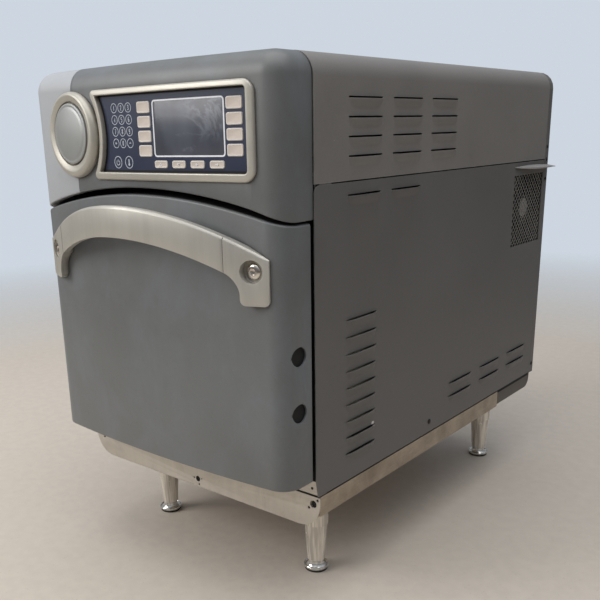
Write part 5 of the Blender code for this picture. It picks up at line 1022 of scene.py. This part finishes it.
def build_brackets():
    fillet = [math.radians(90 * k / 10) for k in range(1, 10)]
    ends = [math.radians(90 * k / 8) for k in range(9)]
    stations = [HANDLE_SPLIT + GAP, FILLET_X]
    stations += [FILLET_X + FILLET * math.sin(angle) for angle in fillet]
    stations += [FOOT_INNER - 0.00001, FOOT_INNER]
    stations += [FOOT_INNER + FOOT_ROUND * (1 - math.cos(angle)) for angle in ends[1:]]
    stations += [0.1625, 0.165, 0.1675, 0.170, 0.1725, 0.175]
    stations += [HANDLE_HALF - FOOT_ROUND * (1 - math.sin(angle)) for angle in ends]
    for side, word in SIDES:
        sections = []
        for x in stations:
            back = front_y(x) - GAP
            crest = min(handle_front(x) + CREST_BACK, back)
            section = handle_section(x, foot_low(x), handle_top(x), crest, back)
            sections.append([(side * px, py, pz) for px, py, pz in section])
        bm, pocket = bmesh.new(), bmesh.new()
        loft(bm, sections)
        bracket = object_from(f"bracket_casting_{word}", bm, "handle_metal", 30)
        seat = front_seat(side * POCKET_X, POCKET_Z)
        profile = ((0.0126, 0.03), (0.0124, 0.0090), (0.0122, 0.0028), (0.0114, 0.0020))
        loft(pocket, [lifted(seat, circle((0, 0), radius, 64), high) for radius, high in profile])
        cut(bracket, pocket)
        bevel(bracket, 0.0007, 3, 40, 30)
        place(bracket, "door", "champagne", f"handle_bracket_{word}")
        build_socket_screw(f"handle_screw_{word}", seat)


def build_socket_screw(name, seat):
    """A domed screw head with a hexagonal socket, on a pocket's floor."""
    sides, third = 48, math.pi / 3

    def hexagon(radius, height):
        points = []
        for k in range(sides):
            angle = 2 * math.pi * k / sides
            reach = radius * math.cos(third / 2) / math.cos((angle % third) - third / 2)
            points.append((reach * math.cos(angle), reach * math.sin(angle)))
        return lifted(seat, points, height)

    head = [(0.0084, 0.0018), (0.0085, 0.0026)]
    for k in range(1, 9):
        angle = math.radians(78 * k / 8)
        head.append((0.0042 + 0.0043 * math.cos(angle), 0.0026 + 0.0026 * math.sin(angle)))
    rings = [lifted(seat, circle((0, 0), radius, sides), height) for radius, height in head]
    rings += [hexagon(0.0040, 0.0052), hexagon(0.0037, 0.0049), hexagon(0.0037, 0.0030)]
    rings.append(hexagon(0.0003, 0.0026))
    piece(name, rings, "chrome", "door", "chrome", sharp=30)


# --- sheets with louvres


def louvre_places(y, z, columns, rows, pitch, length, row_pitch=0.0198, slit=0.0018):
    """Where louvres start, their upper edges, lengths and slits, from the first of them on."""
    return [
        (y + column * pitch, z - row * row_pitch, length, slit)
        for column in range(columns)
        for row in range(rows)
    ]


LOUVRE_U = [0, 0.012, 0.03] + [k / 20 for k in range(1, 20)] + [0.97, 0.988, 1]
LOUVRE_ABOVE = [1.0, 0.5, 0.0]
LOUVRE_BELOW = [0.0, 0.06, 0.14, 0.24, 0.36, 0.5, 0.64, 0.78, 0.9, 1.0]
LOUVRE_HEIGHT = 0.0125
LOUVRE_BULGE = 0.0032
LOUVRE_TOP = 0.0060


def louvre_point(u, v, louvre, below):
    """Where a sheet point goes: (u, v, how far out), for a point in a louvre's window."""
    start, edge, length, slit = louvre
    share = (u - start) / length
    across = abs(2 * share - 1)
    opening = slit * min(1.0, max(0.0, 1 - across) / 0.024)
    middle = edge - 0.0006
    if not below:
        rise = (v - edge) / LOUVRE_TOP
        return u, middle + opening / 2 + rise * (LOUVRE_TOP + edge - middle - opening / 2), 0.0
    drop = (edge - v) / LOUVRE_HEIGHT
    top = middle - opening / 2
    low = edge - LOUVRE_HEIGHT
    width = 1 - 0.16 * drop
    local = min(1.0, across / width)
    crown = (1 - local**7) ** 1.2
    fall = 1 - drop
    lift = LOUVRE_BULGE * crown * (fall * fall * (3 - 2 * fall)) ** 0.8
    return u, top - drop * (top - low), lift


def sheet(us, vs, louvres, spot, hole=None):
    """A sheet over the grid us by vs, with louvres pressed into it.

    spot(u, v) gives a point of the sheet and its way out, hole the window left open.
    """
    us, vs = set(us), set(vs)
    for start, edge, length, _ in louvres:
        us |= {start + length * share for share in LOUVRE_U}
        vs |= {edge + LOUVRE_TOP * share for share in LOUVRE_ABOVE}
        vs |= {edge - LOUVRE_HEIGHT * share for share in LOUVRE_BELOW}

    def tidy(values):
        out = []
        for value in sorted(values):
            if not out or value - out[-1] > 2e-5:
                out.append(value)
        return out

    us, vs = tidy(us), tidy(vs)
    bm = bmesh.new()
    cache = {}

    def vertex(i, j, louvre, below):
        u, v = us[i], vs[j]
        out = 0.0
        if louvre:
            u, v, out = louvre_point(u, v, louvre, below)
        key = (round(u, 6), round(v, 6), round(out, 6))
        if key not in cache:
            point, way = spot(u, v)
            cache[key] = bm.verts.new(point + way * out)
        return cache[key]

    for i in range(len(us) - 1):
        for j in range(len(vs) - 1):
            u, v = (us[i] + us[i + 1]) / 2, (vs[j] + vs[j + 1]) / 2
            if hole and hole[0] < u < hole[1] and hole[2] < v < hole[3]:
                continue
            louvre, below = None, False
            for start, edge, length, slit in louvres:
                if start < u < start + length and edge - LOUVRE_HEIGHT < v < edge + LOUVRE_TOP:
                    louvre, below = (start, edge, length, slit), v < edge
            corners = []
            for a, b in ((i, j), (i + 1, j), (i + 1, j + 1), (i, j + 1)):
                corner = vertex(a, b, louvre, below)
                if corner not in corners:
                    corners.append(corner)
            if len(corners) > 2:
                bm.faces.new(corners)
    return bm


def sheet_object(name, bm, look="grey_paint"):
    obj = mesh_object(name, outward(bm), look)
    solidify(obj, LOUVRED_SHEET)
    return bake(obj, 32)


def build_cover():
    """The top cover: its right half, rolled over the top corner, and the mirror of that."""
    low = COVER_SEAM + GAP
    side = HEIGHT - TOP_ROUND - low
    quarter = TOP_ROUND * math.pi / 2
    middle = side + quarter + HALF - TOP_ROUND

    def spot(u, v):
        if v <= side:
            return Vector((HALF, u, low + v)), Vector((1, 0, 0))
        if v <= side + quarter:
            angle = (v - side) / TOP_ROUND
            way = Vector((math.cos(angle), 0, math.sin(angle)))
            centre = Vector((HALF - TOP_ROUND, u, HEIGHT - TOP_ROUND))
            return centre + way * TOP_ROUND, way
        return Vector((HALF - TOP_ROUND - (v - side - quarter), u, HEIGHT)), Vector((0, 0, 1))

    rows = louvre_places(0.0617, 0.5885 - low, 3, 4, 0.089, 0.067, 0.0201, 0.0020)
    us = [GAP, 0.006, 0.03, 0.3, 0.45, PANEL_REAR - 0.004, PANEL_REAR - GAP]
    vs = [0, middle] + [side + quarter * k / 12 for k in range(13)]
    bm = sheet(us, vs, rows, spot)
    mirrored = bm.copy()
    bmesh.ops.scale(mirrored, vec=(-1, 1, 1), verts=mirrored.verts)
    bmesh.ops.reverse_faces(mirrored, faces=mirrored.faces)
    mesh = bpy.data.meshes.new("half")
    mirrored.to_mesh(mesh)
    mirrored.free()
    bm.from_mesh(mesh)
    bmesh.ops.remove_doubles(bm, verts=bm.verts, dist=1e-6)
    # The cover's lighter paint is painted light.
    place(sheet_object("cover_sheet", bm, "lit_cover_paint"), "oven", "grey_paint", "top_cover")


def build_panels():
    rows = louvre_places(0.0605, 0.4875, 2, 1, 0.089, 0.067)
    rows += louvre_places(0.0576, 0.349, 1, 9, 0.089, 0.064, 0.0204, 0.0012)
    rows += louvre_places(0.313, 0.2075, 3, 2, 0.0965, 0.071, slit=0.0010)
    corner, corner_low = PANEL_CORNER, PANEL_TOP - PANEL_CORNER
    for side, word in SIDES:

        def spot(u, v, side=side):
            # The front edge goes round the top corner, and slants back at the bottom.
            start = 0.0
            if v > corner_low:
                start = corner - math.sqrt(max(0.0, corner**2 - (v - corner_low) ** 2))
            if v < SLANT_TOP:
                start = 0.0036 * (SLANT_TOP - v) / 0.022
            y = start + (u / 0.02) * (0.02 - start) if u < 0.02 else u
            return Vector((side * HALF, y, v)), Vector((side, 0, 0))

        us = [0, 0.01, 0.02, 0.25, 0.49, PANEL_REAR - GAP]
        vs = [PANEL_BOTTOM + 0.0016, SLANT_TOP, 0.36, PANEL_TOP]
        vs += [corner_low + corner * math.sin(math.radians(90 * k / 8)) for k in range(9)]
        hole = None
        if word == "right":
            hole = (VENT_FRONT, VENT_REAR, VENT_LOW, VENT_TOP)
            us += hole[:2]
            vs += hole[2:]
        panel = sheet_object(f"panel_sheet_{word}", sheet(us, vs, rows, spot, hole))
        place(panel, "oven", "grey_paint", f"side_panel_{word}")


def build_fan_label():
    """The plain disc on the fan rotor's hub."""
    low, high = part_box("cooling_fan_rotor")
    centre = [(a + b) / 2 for a, b in zip(low, high)]
    bm = bmesh.new()
    profile = [(0.0140, 0.0001), (0.0140, 0.0004), (0.0135, 0.0006), (0.003, 0.0006)]
    disc(bm, (high[0], centre[1], centre[2]), "x", 1, profile)
    label = object_from("fan_hub_disc", bm, "hub_paint_and_visor_highlight", shift=Vector())
    place(label, "fan_rotor", "black_plastic")


def build_visor():
    """The flap bent out over the vent: it widens to the rear, its root rolled into the panel."""
    z = VENT_TOP + 0.0128
    start, end = VENT_FRONT, PANEL_REAR - GAP
    rings = []
    for k in range(25):
        share = k / 24
        y = start + (end + 0.009 - start) * share
        reach = 0.0134 * min(1.0, (y - start) / (end - start)) ** 0.6 + 0.0012
        crown = math.sin(math.pi * share)
        low = z - (0.0020 * crown + 0.0034 * share**3)
        top = z + 0.0012 * crown - 0.0012 * share**3
        root = HALF - 0.0006 if y < end else HALF + SHEET
        tip = HALF + reach
        lens = SHEET + 0.0016 * math.sin(math.pi * min(1.0, share * 1.1)) ** 0.7
        rings.append([(root, y, top), (tip, y, low), (tip, y, low - lens), (root, y, top - SHEET)])
    bm = bmesh.new()
    loft(bm, rings)
    # Its paint is lighter than the panel's: painted light on the flap.
    visor = object_from("vent_visor", bm, "hub_paint_and_visor_highlight")
    bevel(visor, 0.0004)
    place(visor, "oven", "grey_paint")


def build_vent():
    """Expanded metal: strands that zigzag up and meet their neighbours."""
    columns, rows = 22, 12
    cell = VENT_LENGTH / columns
    rise = (VENT_HEIGHT + 0.008) / (2 * rows)
    x, half_deep = HALF - SHEET - 0.0012, 0.0004
    bm = bmesh.new()
    for line in range(columns + 1):
        rings = []
        for k in range(2 * rows + 1):
            for part, thick in ((-0.2, 0.0006), (0.2, 0.0006), (0.5, 0.0004)):
                here = 1 if (k + line) % 2 else -1
                swing = cell / 2 * (0.84 * here if part < 0.5 else 0.0)
                y = VENT_FRONT + line * cell + swing
                y = min(max(y, VENT_FRONT - 0.002), VENT_REAR + 0.002)
                z = VENT_LOW - 0.004 + (k + part) * rise
                corners = rect(y - thick, y + thick, x + half_deep, x - half_deep)
                rings.append([(deep, across, z) for across, deep in corners])
        loft(bm, rings)
    fit("vent_strands", bm, "mesh_paint", "oven", "black_plastic", "vent_mesh", sharp=60)


SIDE_SCREWS = (
    (0.2599, 0.1656, 0.0036),
    (0.6129, 0.1645, 0.0030),
    (0.6140, 0.5206, 0.0028),
    (0.6140, 0.5015, 0.0028),
    (0.6140, 0.4713, 0.0030),
)


def build_small_parts():
    """Side hole plugs, what shows in the seam below the cover, side screws, and a black sheet
    behind the rear slots: painted shade.
    """
    for side, word in SIDES:
        bm = bmesh.new()
        profile = [(0.0117, 0), (0.0117, 0.0006), (0.0108, 0.0008), (0.002, 0.0004)]
        for z in DOOR_HOLES_Z:
            disc(bm, (side * 0.1980, DOOR_HOLE_Y, z), "x", side, profile)
        fit(f"door_plugs_{word}", bm, "shade_and_plug_black", "door", "black_plastic")

        behind = (HALF - SHEET - 0.0004, HALF - SHEET - 0.0014)
        rear = PANEL_REAR - 0.001
        bm = bmesh.new()
        side_prism(bm, rect(FLANGE_END + 0.0005, rear, SEAM_LOW, SEAM_TOP), side, *behind)
        lower = rect(0.009, rear, PANEL_BOTTOM - 0.004, PANEL_BOTTOM + 0.006)
        side_prism(bm, lower, side, *behind)
        fit(f"seam_shade_{word}", bm, "shade_and_plug_black", "oven", "grey_paint")

        bm = bmesh.new()
        side_prism(bm, rect(0.003, FLANGE_END, SEAM_LOW, SEAM_TOP), side, *behind)
        filler = rect(0.0095, FLANGE_END, PANEL_TOP + 0.0001, COVER_SEAM + GAP - 0.0001)
        side_prism(bm, filler, side, HALF - 0.0003, HALF - SHEET - 0.0005)
        fit(f"seam_flange_{word}", bm, "grey_paint", "oven", "grey_paint")

        bm = bmesh.new()
        for y, z, radius in SIDE_SCREWS:
            profile = [(radius, 0), (radius, 0.0005), (radius * 0.8, 0.0011)]
            profile += [(radius * 0.4, 0.0013), (radius * 0.25, 0.0007)]
            disc(bm, (side * (HALF + 0.0001), y, z), "x", side, profile, 20)
        fit(f"side_screws_{word}", bm, "dark_screw", "oven", "zinc_steel")
    # Painted shade: a black sheet behind the rear panel's slots.
    bm = bmesh.new()
    prism(bm, rect(-0.165, 0.165, 0.372, 0.492), "y", DEPTH - 0.0032, DEPTH - 0.0024)
    fit("rear_slot_shade", bm, "shade_and_plug_black", "oven", "black_plastic")


# --- front skirt, legs and feet


SKIRT_HALF = 0.2038
SKIRT_LOW, SKIRT_TOP = 0.107, 0.1489
FACE_Y, FACE_BACK = 0.005, 0.0066
SKIRT_HOLES = ((0.1942, 0.1386, 0.0046), (-0.1942, 0.1386, 0.0046), (0.0038, 0.1182, 0.0038))
SKIRT_SCREWS = (
    (0.1879, 0.1327, 0.0016),
    (0.2003, 0.1447, 0.0016),
    (-0.1879, 0.1327, 0.0016),
    (-0.2003, 0.1447, 0.0016),
    (-0.0033, 0.1184, 0.0012),
    (0.0056, 0.1108, 0.0012),
    (0.0103, 0.1196, 0.0010),
)
SKIRT_ROUND = 0.032
SILL_HALF, SILL_TOP = 0.2028, 0.1512


def build_skirt():
    """The bright plate below the door, with its holes, and a black strip above it: painted shade of
    the gap, with two dark screws.
    """
    outline = arc((SKIRT_HALF - SKIRT_ROUND, SKIRT_LOW + SKIRT_ROUND), SKIRT_ROUND, -90, 0, 14)
    outline += [(SKIRT_HALF, SKIRT_TOP - 0.002), (SKIRT_HALF - 0.002, SKIRT_TOP)]
    outline += [(-x, z) for x, z in outline[::-1]]
    bm, holes = bmesh.new(), bmesh.new()
    prism(bm, outline, "y", FACE_Y, FACE_BACK)
    skirt = object_from("skirt_plate", bm, "skirt_metal")
    for x, z, size in SKIRT_HOLES + SKIRT_SCREWS:
        prism(holes, circle((x, z), size, 32), "y", FACE_Y - 0.01, FACE_BACK + 0.01)
    cut(skirt, holes)
    bevel(skirt, 0.0004, angle=50)
    place(skirt, "oven", "stainless", "front_skirt")

    bm = bmesh.new()
    for x, z, size in SKIRT_HOLES + SKIRT_SCREWS:
        if size > 0.004:
            x, size = x + math.copysign(0.0011, x), 0.0036
        profile = [(size + 0.001, 0), (size + 0.001, 0.0001), (size * 0.3, 0.0001)]
        disc(bm, (x, FACE_BACK + 0.0001, z), "y", 1, profile, 24)
    fit("skirt_plugs", bm, "shade_and_plug_black", "oven", "black_plastic")

    # Painted shade: a black strip along the gap above the plate, and two dark screw heads.
    bm = bmesh.new()
    strip = rect(-SILL_HALF, SILL_HALF, SKIRT_TOP, SILL_TOP)
    prism(bm, strip, "y", FACE_Y - 0.0003, FACE_Y + 0.0001)
    for x in (-0.1929, 0.1929):
        profile = [(0.0017, 0), (0.0017, 0.0003), (0.0005, 0.0002)]
        disc(bm, (x, FACE_Y + 0.0001, 0.1586), "y", -1, profile, 20)
    fit("sill_shade_and_screws", bm, "shade_and_plug_black", "oven", "black_plastic")


LEG_X, LEGS_Y = 0.140, (("front", 0.082), ("rear", 0.560))


def build_legs():
    """Tapered legs with a collar, and levelling feet with a hollow flange on a rubber pad."""
    sleeve = [(0.0055, 0.0140), (0.0108, 0.0140), (0.0115, 0.0146)]
    sleeve += [(0.0115 + 0.0035 * k / 6, 0.0146 + 0.0510 * k / 6) for k in range(1, 7)]
    sleeve += [(0.0150, 0.0662), (0.0159, 0.0663), (0.0162, 0.0668), (0.0168, 0.1232)]
    sleeve += [(0.0165, 0.1237), (0.0055, 0.1237)]
    foot = [(0.0050, 0.0600), (0.0050, 0.0137), (0.0101, 0.0137), (0.0103, 0.0132)]
    foot.append((0.0103, 0.0118))
    for share in [k / 7 for k in range(1, 8)]:
        foot.append((0.0103 + 0.0030 * share**1.7, 0.0118 - 0.0060 * share**0.8))
    foot += [(0.0140, 0.0055), (0.0147, 0.0060), (0.0155, 0.0068), (0.0160, 0.0069)]
    foot += [(0.0164, 0.0064), (0.0165, 0.0055), (0.0162, 0.0040), (0.0155, 0.0031)]
    foot.append((0.0060, 0.0030))
    pad = [(0.0140, 0.0030), (0.0150, 0.0027), (0.0150, 0.0004), (0.0146, 0.0), (0.004, 0.0)]
    for row, y in LEGS_Y:
        for side, x in (("left", -LEG_X), ("right", LEG_X)):
            corner = f"{row}_{side}"
            foot_body = f"foot_{corner}"
            for name, look, profile, spot in (
                ("leg_sleeve", "leg_metal", sleeve, ("oven", "stainless", f"leg_{corner}")),
                ("foot_flange", "foot_chrome", foot, (foot_body, "chrome", foot_body)),
                ("foot_pad", "rubber", pad, (foot_body, "black_plastic")),
            ):
                rings = [[(a, b, z) for a, b in circle((x, y), r, 48)] for r, z in profile]
                piece(f"{name}_{corner}", rings, look, *spot, sharp=30)


# --- stage, light and camera


def build_stage():
    bm = bmesh.new()
    bmesh.ops.create_circle(bm, cap_ends=True, segments=96, radius=3.2)
    floor = object_from("floor", bm, shift=Vector())
    look = Look("floor_finish", (200, 190, 177), 0.75)
    look.start(look.span(look.noise(60, 4), 0.35, 0.65), 0.97, 1.03)
    flecks = look.span(look.cells(110), 0.14, 0.06)
    look.lay(look.times(flecks, 0.22), (150, 132, 116))
    faded = look.span(look.measure("LENGTH", look.place), 2.7, 1.1)
    floor.data.materials.append(look.done(Alpha=faded))


WORLD_SEEN = (205, 214, 224)
WORLD_STOPS = (
    (0.0, (0.10, 0.095, 0.09)),
    (0.75, (0.52, 0.56, 0.63)),
    (0.08, (0.15, 0.15, 0.15)),
    (0.35, (0.24, 0.25, 0.27)),
)
LAMP_COLOUR = (1.0, 0.98, 0.95)
# Each lamp's name, place, aim, size in metres and watts
LAMPS = (
    ("overhead", (0.3, -0.35, 2.3), (0, 0, 0.3), 2.2, 32),
    ("front_left", (-1.6, -2.2, 1.7), (0, -0.1, 0.35), 1.6, 49),
)


def build_light():
    """A sky that lights by height and looks plain to the camera, and two area lamps."""
    world = bpy.data.worlds.new("studio")
    bpy.context.scene.world = world
    world.use_nodes = True
    tree = world.node_tree
    tree.nodes.clear()
    way = add_node(tree, "TexCoord").outputs["Generated"]
    height = add_node(tree, "SeparateXYZ", {0: way}).outputs["Z"]
    ramp = add_node(tree, "ValToRGB", {"Fac": height})
    elements = ramp.color_ramp.elements
    for k, (spot, colour) in enumerate(WORLD_STOPS):
        element = elements[k] if k < 2 else elements.new(spot)
        element.position, element.color = spot, (*colour, 1.0)
    soft = add_node(tree, "Background", {"Color": ramp.outputs["Color"], "Strength": 1.0})
    seen = add_node(tree, "Background", {"Color": linear(*WORLD_SEEN), "Strength": 1.0})
    direct = add_node(tree, "LightPath").outputs["Is Camera Ray"]
    blend = add_node(tree, "MixShader", {0: direct, 1: soft.outputs[0], 2: seen.outputs[0]})
    add_node(tree, "OutputWorld", {"Surface": blend.outputs[0]})
    for name, spot, aim, size, energy in LAMPS:
        light = bpy.data.lights.new(name, "AREA")
        light.size, light.energy, light.color = size, energy, LAMP_COLOUR
        lamp = bpy.data.objects.new(name, light)
        bpy.context.scene.collection.objects.link(lamp)
        lamp.location = spot
        lamp.rotation_euler = (Vector(aim) - Vector(spot)).to_track_quat("-Z", "Y").to_euler()


CAMERA_TURN = (40.604, 16.869, -1.562)
CAMERA_PLACE = (0.69038, -0.92358, 0.55574)
CAMERA_LENS, CAMERA_SENSOR = 47.126, 36
CAMERA_SHIFT = (0.0560, 0.1154)


def build_camera():
    """The photograph's viewing angle, as fitted to the oven's straight edges."""
    yaw, pitch, roll = (math.radians(angle) for angle in CAMERA_TURN)
    level = math.cos(pitch)
    ahead = Vector((-math.sin(yaw) * level, math.cos(yaw) * level, -math.sin(pitch)))
    right = Vector((math.cos(yaw), math.sin(yaw), 0))
    up = right.cross(ahead)
    right, up = (
        right * math.cos(roll) + up * math.sin(roll),
        up * math.cos(roll) - right * math.sin(roll),
    )
    data = bpy.data.cameras.new("camera")
    data.lens, data.sensor_width = CAMERA_LENS, CAMERA_SENSOR
    data.shift_x, data.shift_y = CAMERA_SHIFT
    camera = bpy.data.objects.new("camera", data)
    turn = Matrix((right, up, -ahead)).transposed()
    camera.matrix_world = Matrix.Translation(CAMERA_PLACE) @ turn.to_4x4()
    bpy.context.scene.collection.objects.link(camera)
    bpy.context.scene.camera = camera
    bpy.context.scene.view_settings.view_transform = "Standard"


NODE_LOOKS = {
    "front_frame": "frame_metal",
    "base_pan": "pan_metal",
    "cooling_fan_frame": "shaded_fan_black",
    "cooling_fan_rotor": "shaded_fan_black",
}


def dress_nodes():
    """Gives each CAD node its material and smooth shading."""
    slots = {}
    for entry in frame["record"]["materials"]:
        for node in entry.get("nodes", []):
            slots[node] = entry["slot"]
    for name, obj in frame["nodes"].items():
        slot = slots.get(name)
        if slot is None and obj.data.materials and obj.data.materials[0]:
            slot = obj.data.materials[0].name.split(".")[0]
        obj.data.materials.clear()
        look = NODE_LOOKS.get(name, slot)
        obj.data.materials.append(MATERIALS.get(look, MATERIALS["stainless"]))
        smooth(obj, 32)


make_materials()
dress_nodes()
build_hood()
build_badge()
build_bezel()
build_film_shadow()
build_keys()
build_membrane()
build_display()
build_print()
build_door()
build_handle_bar()
build_brackets()
build_cover()
build_panels()
build_visor()
build_vent()
build_fan_label()
build_small_parts()
build_skirt()
build_legs()
build_stage()
build_light()
build_camera()
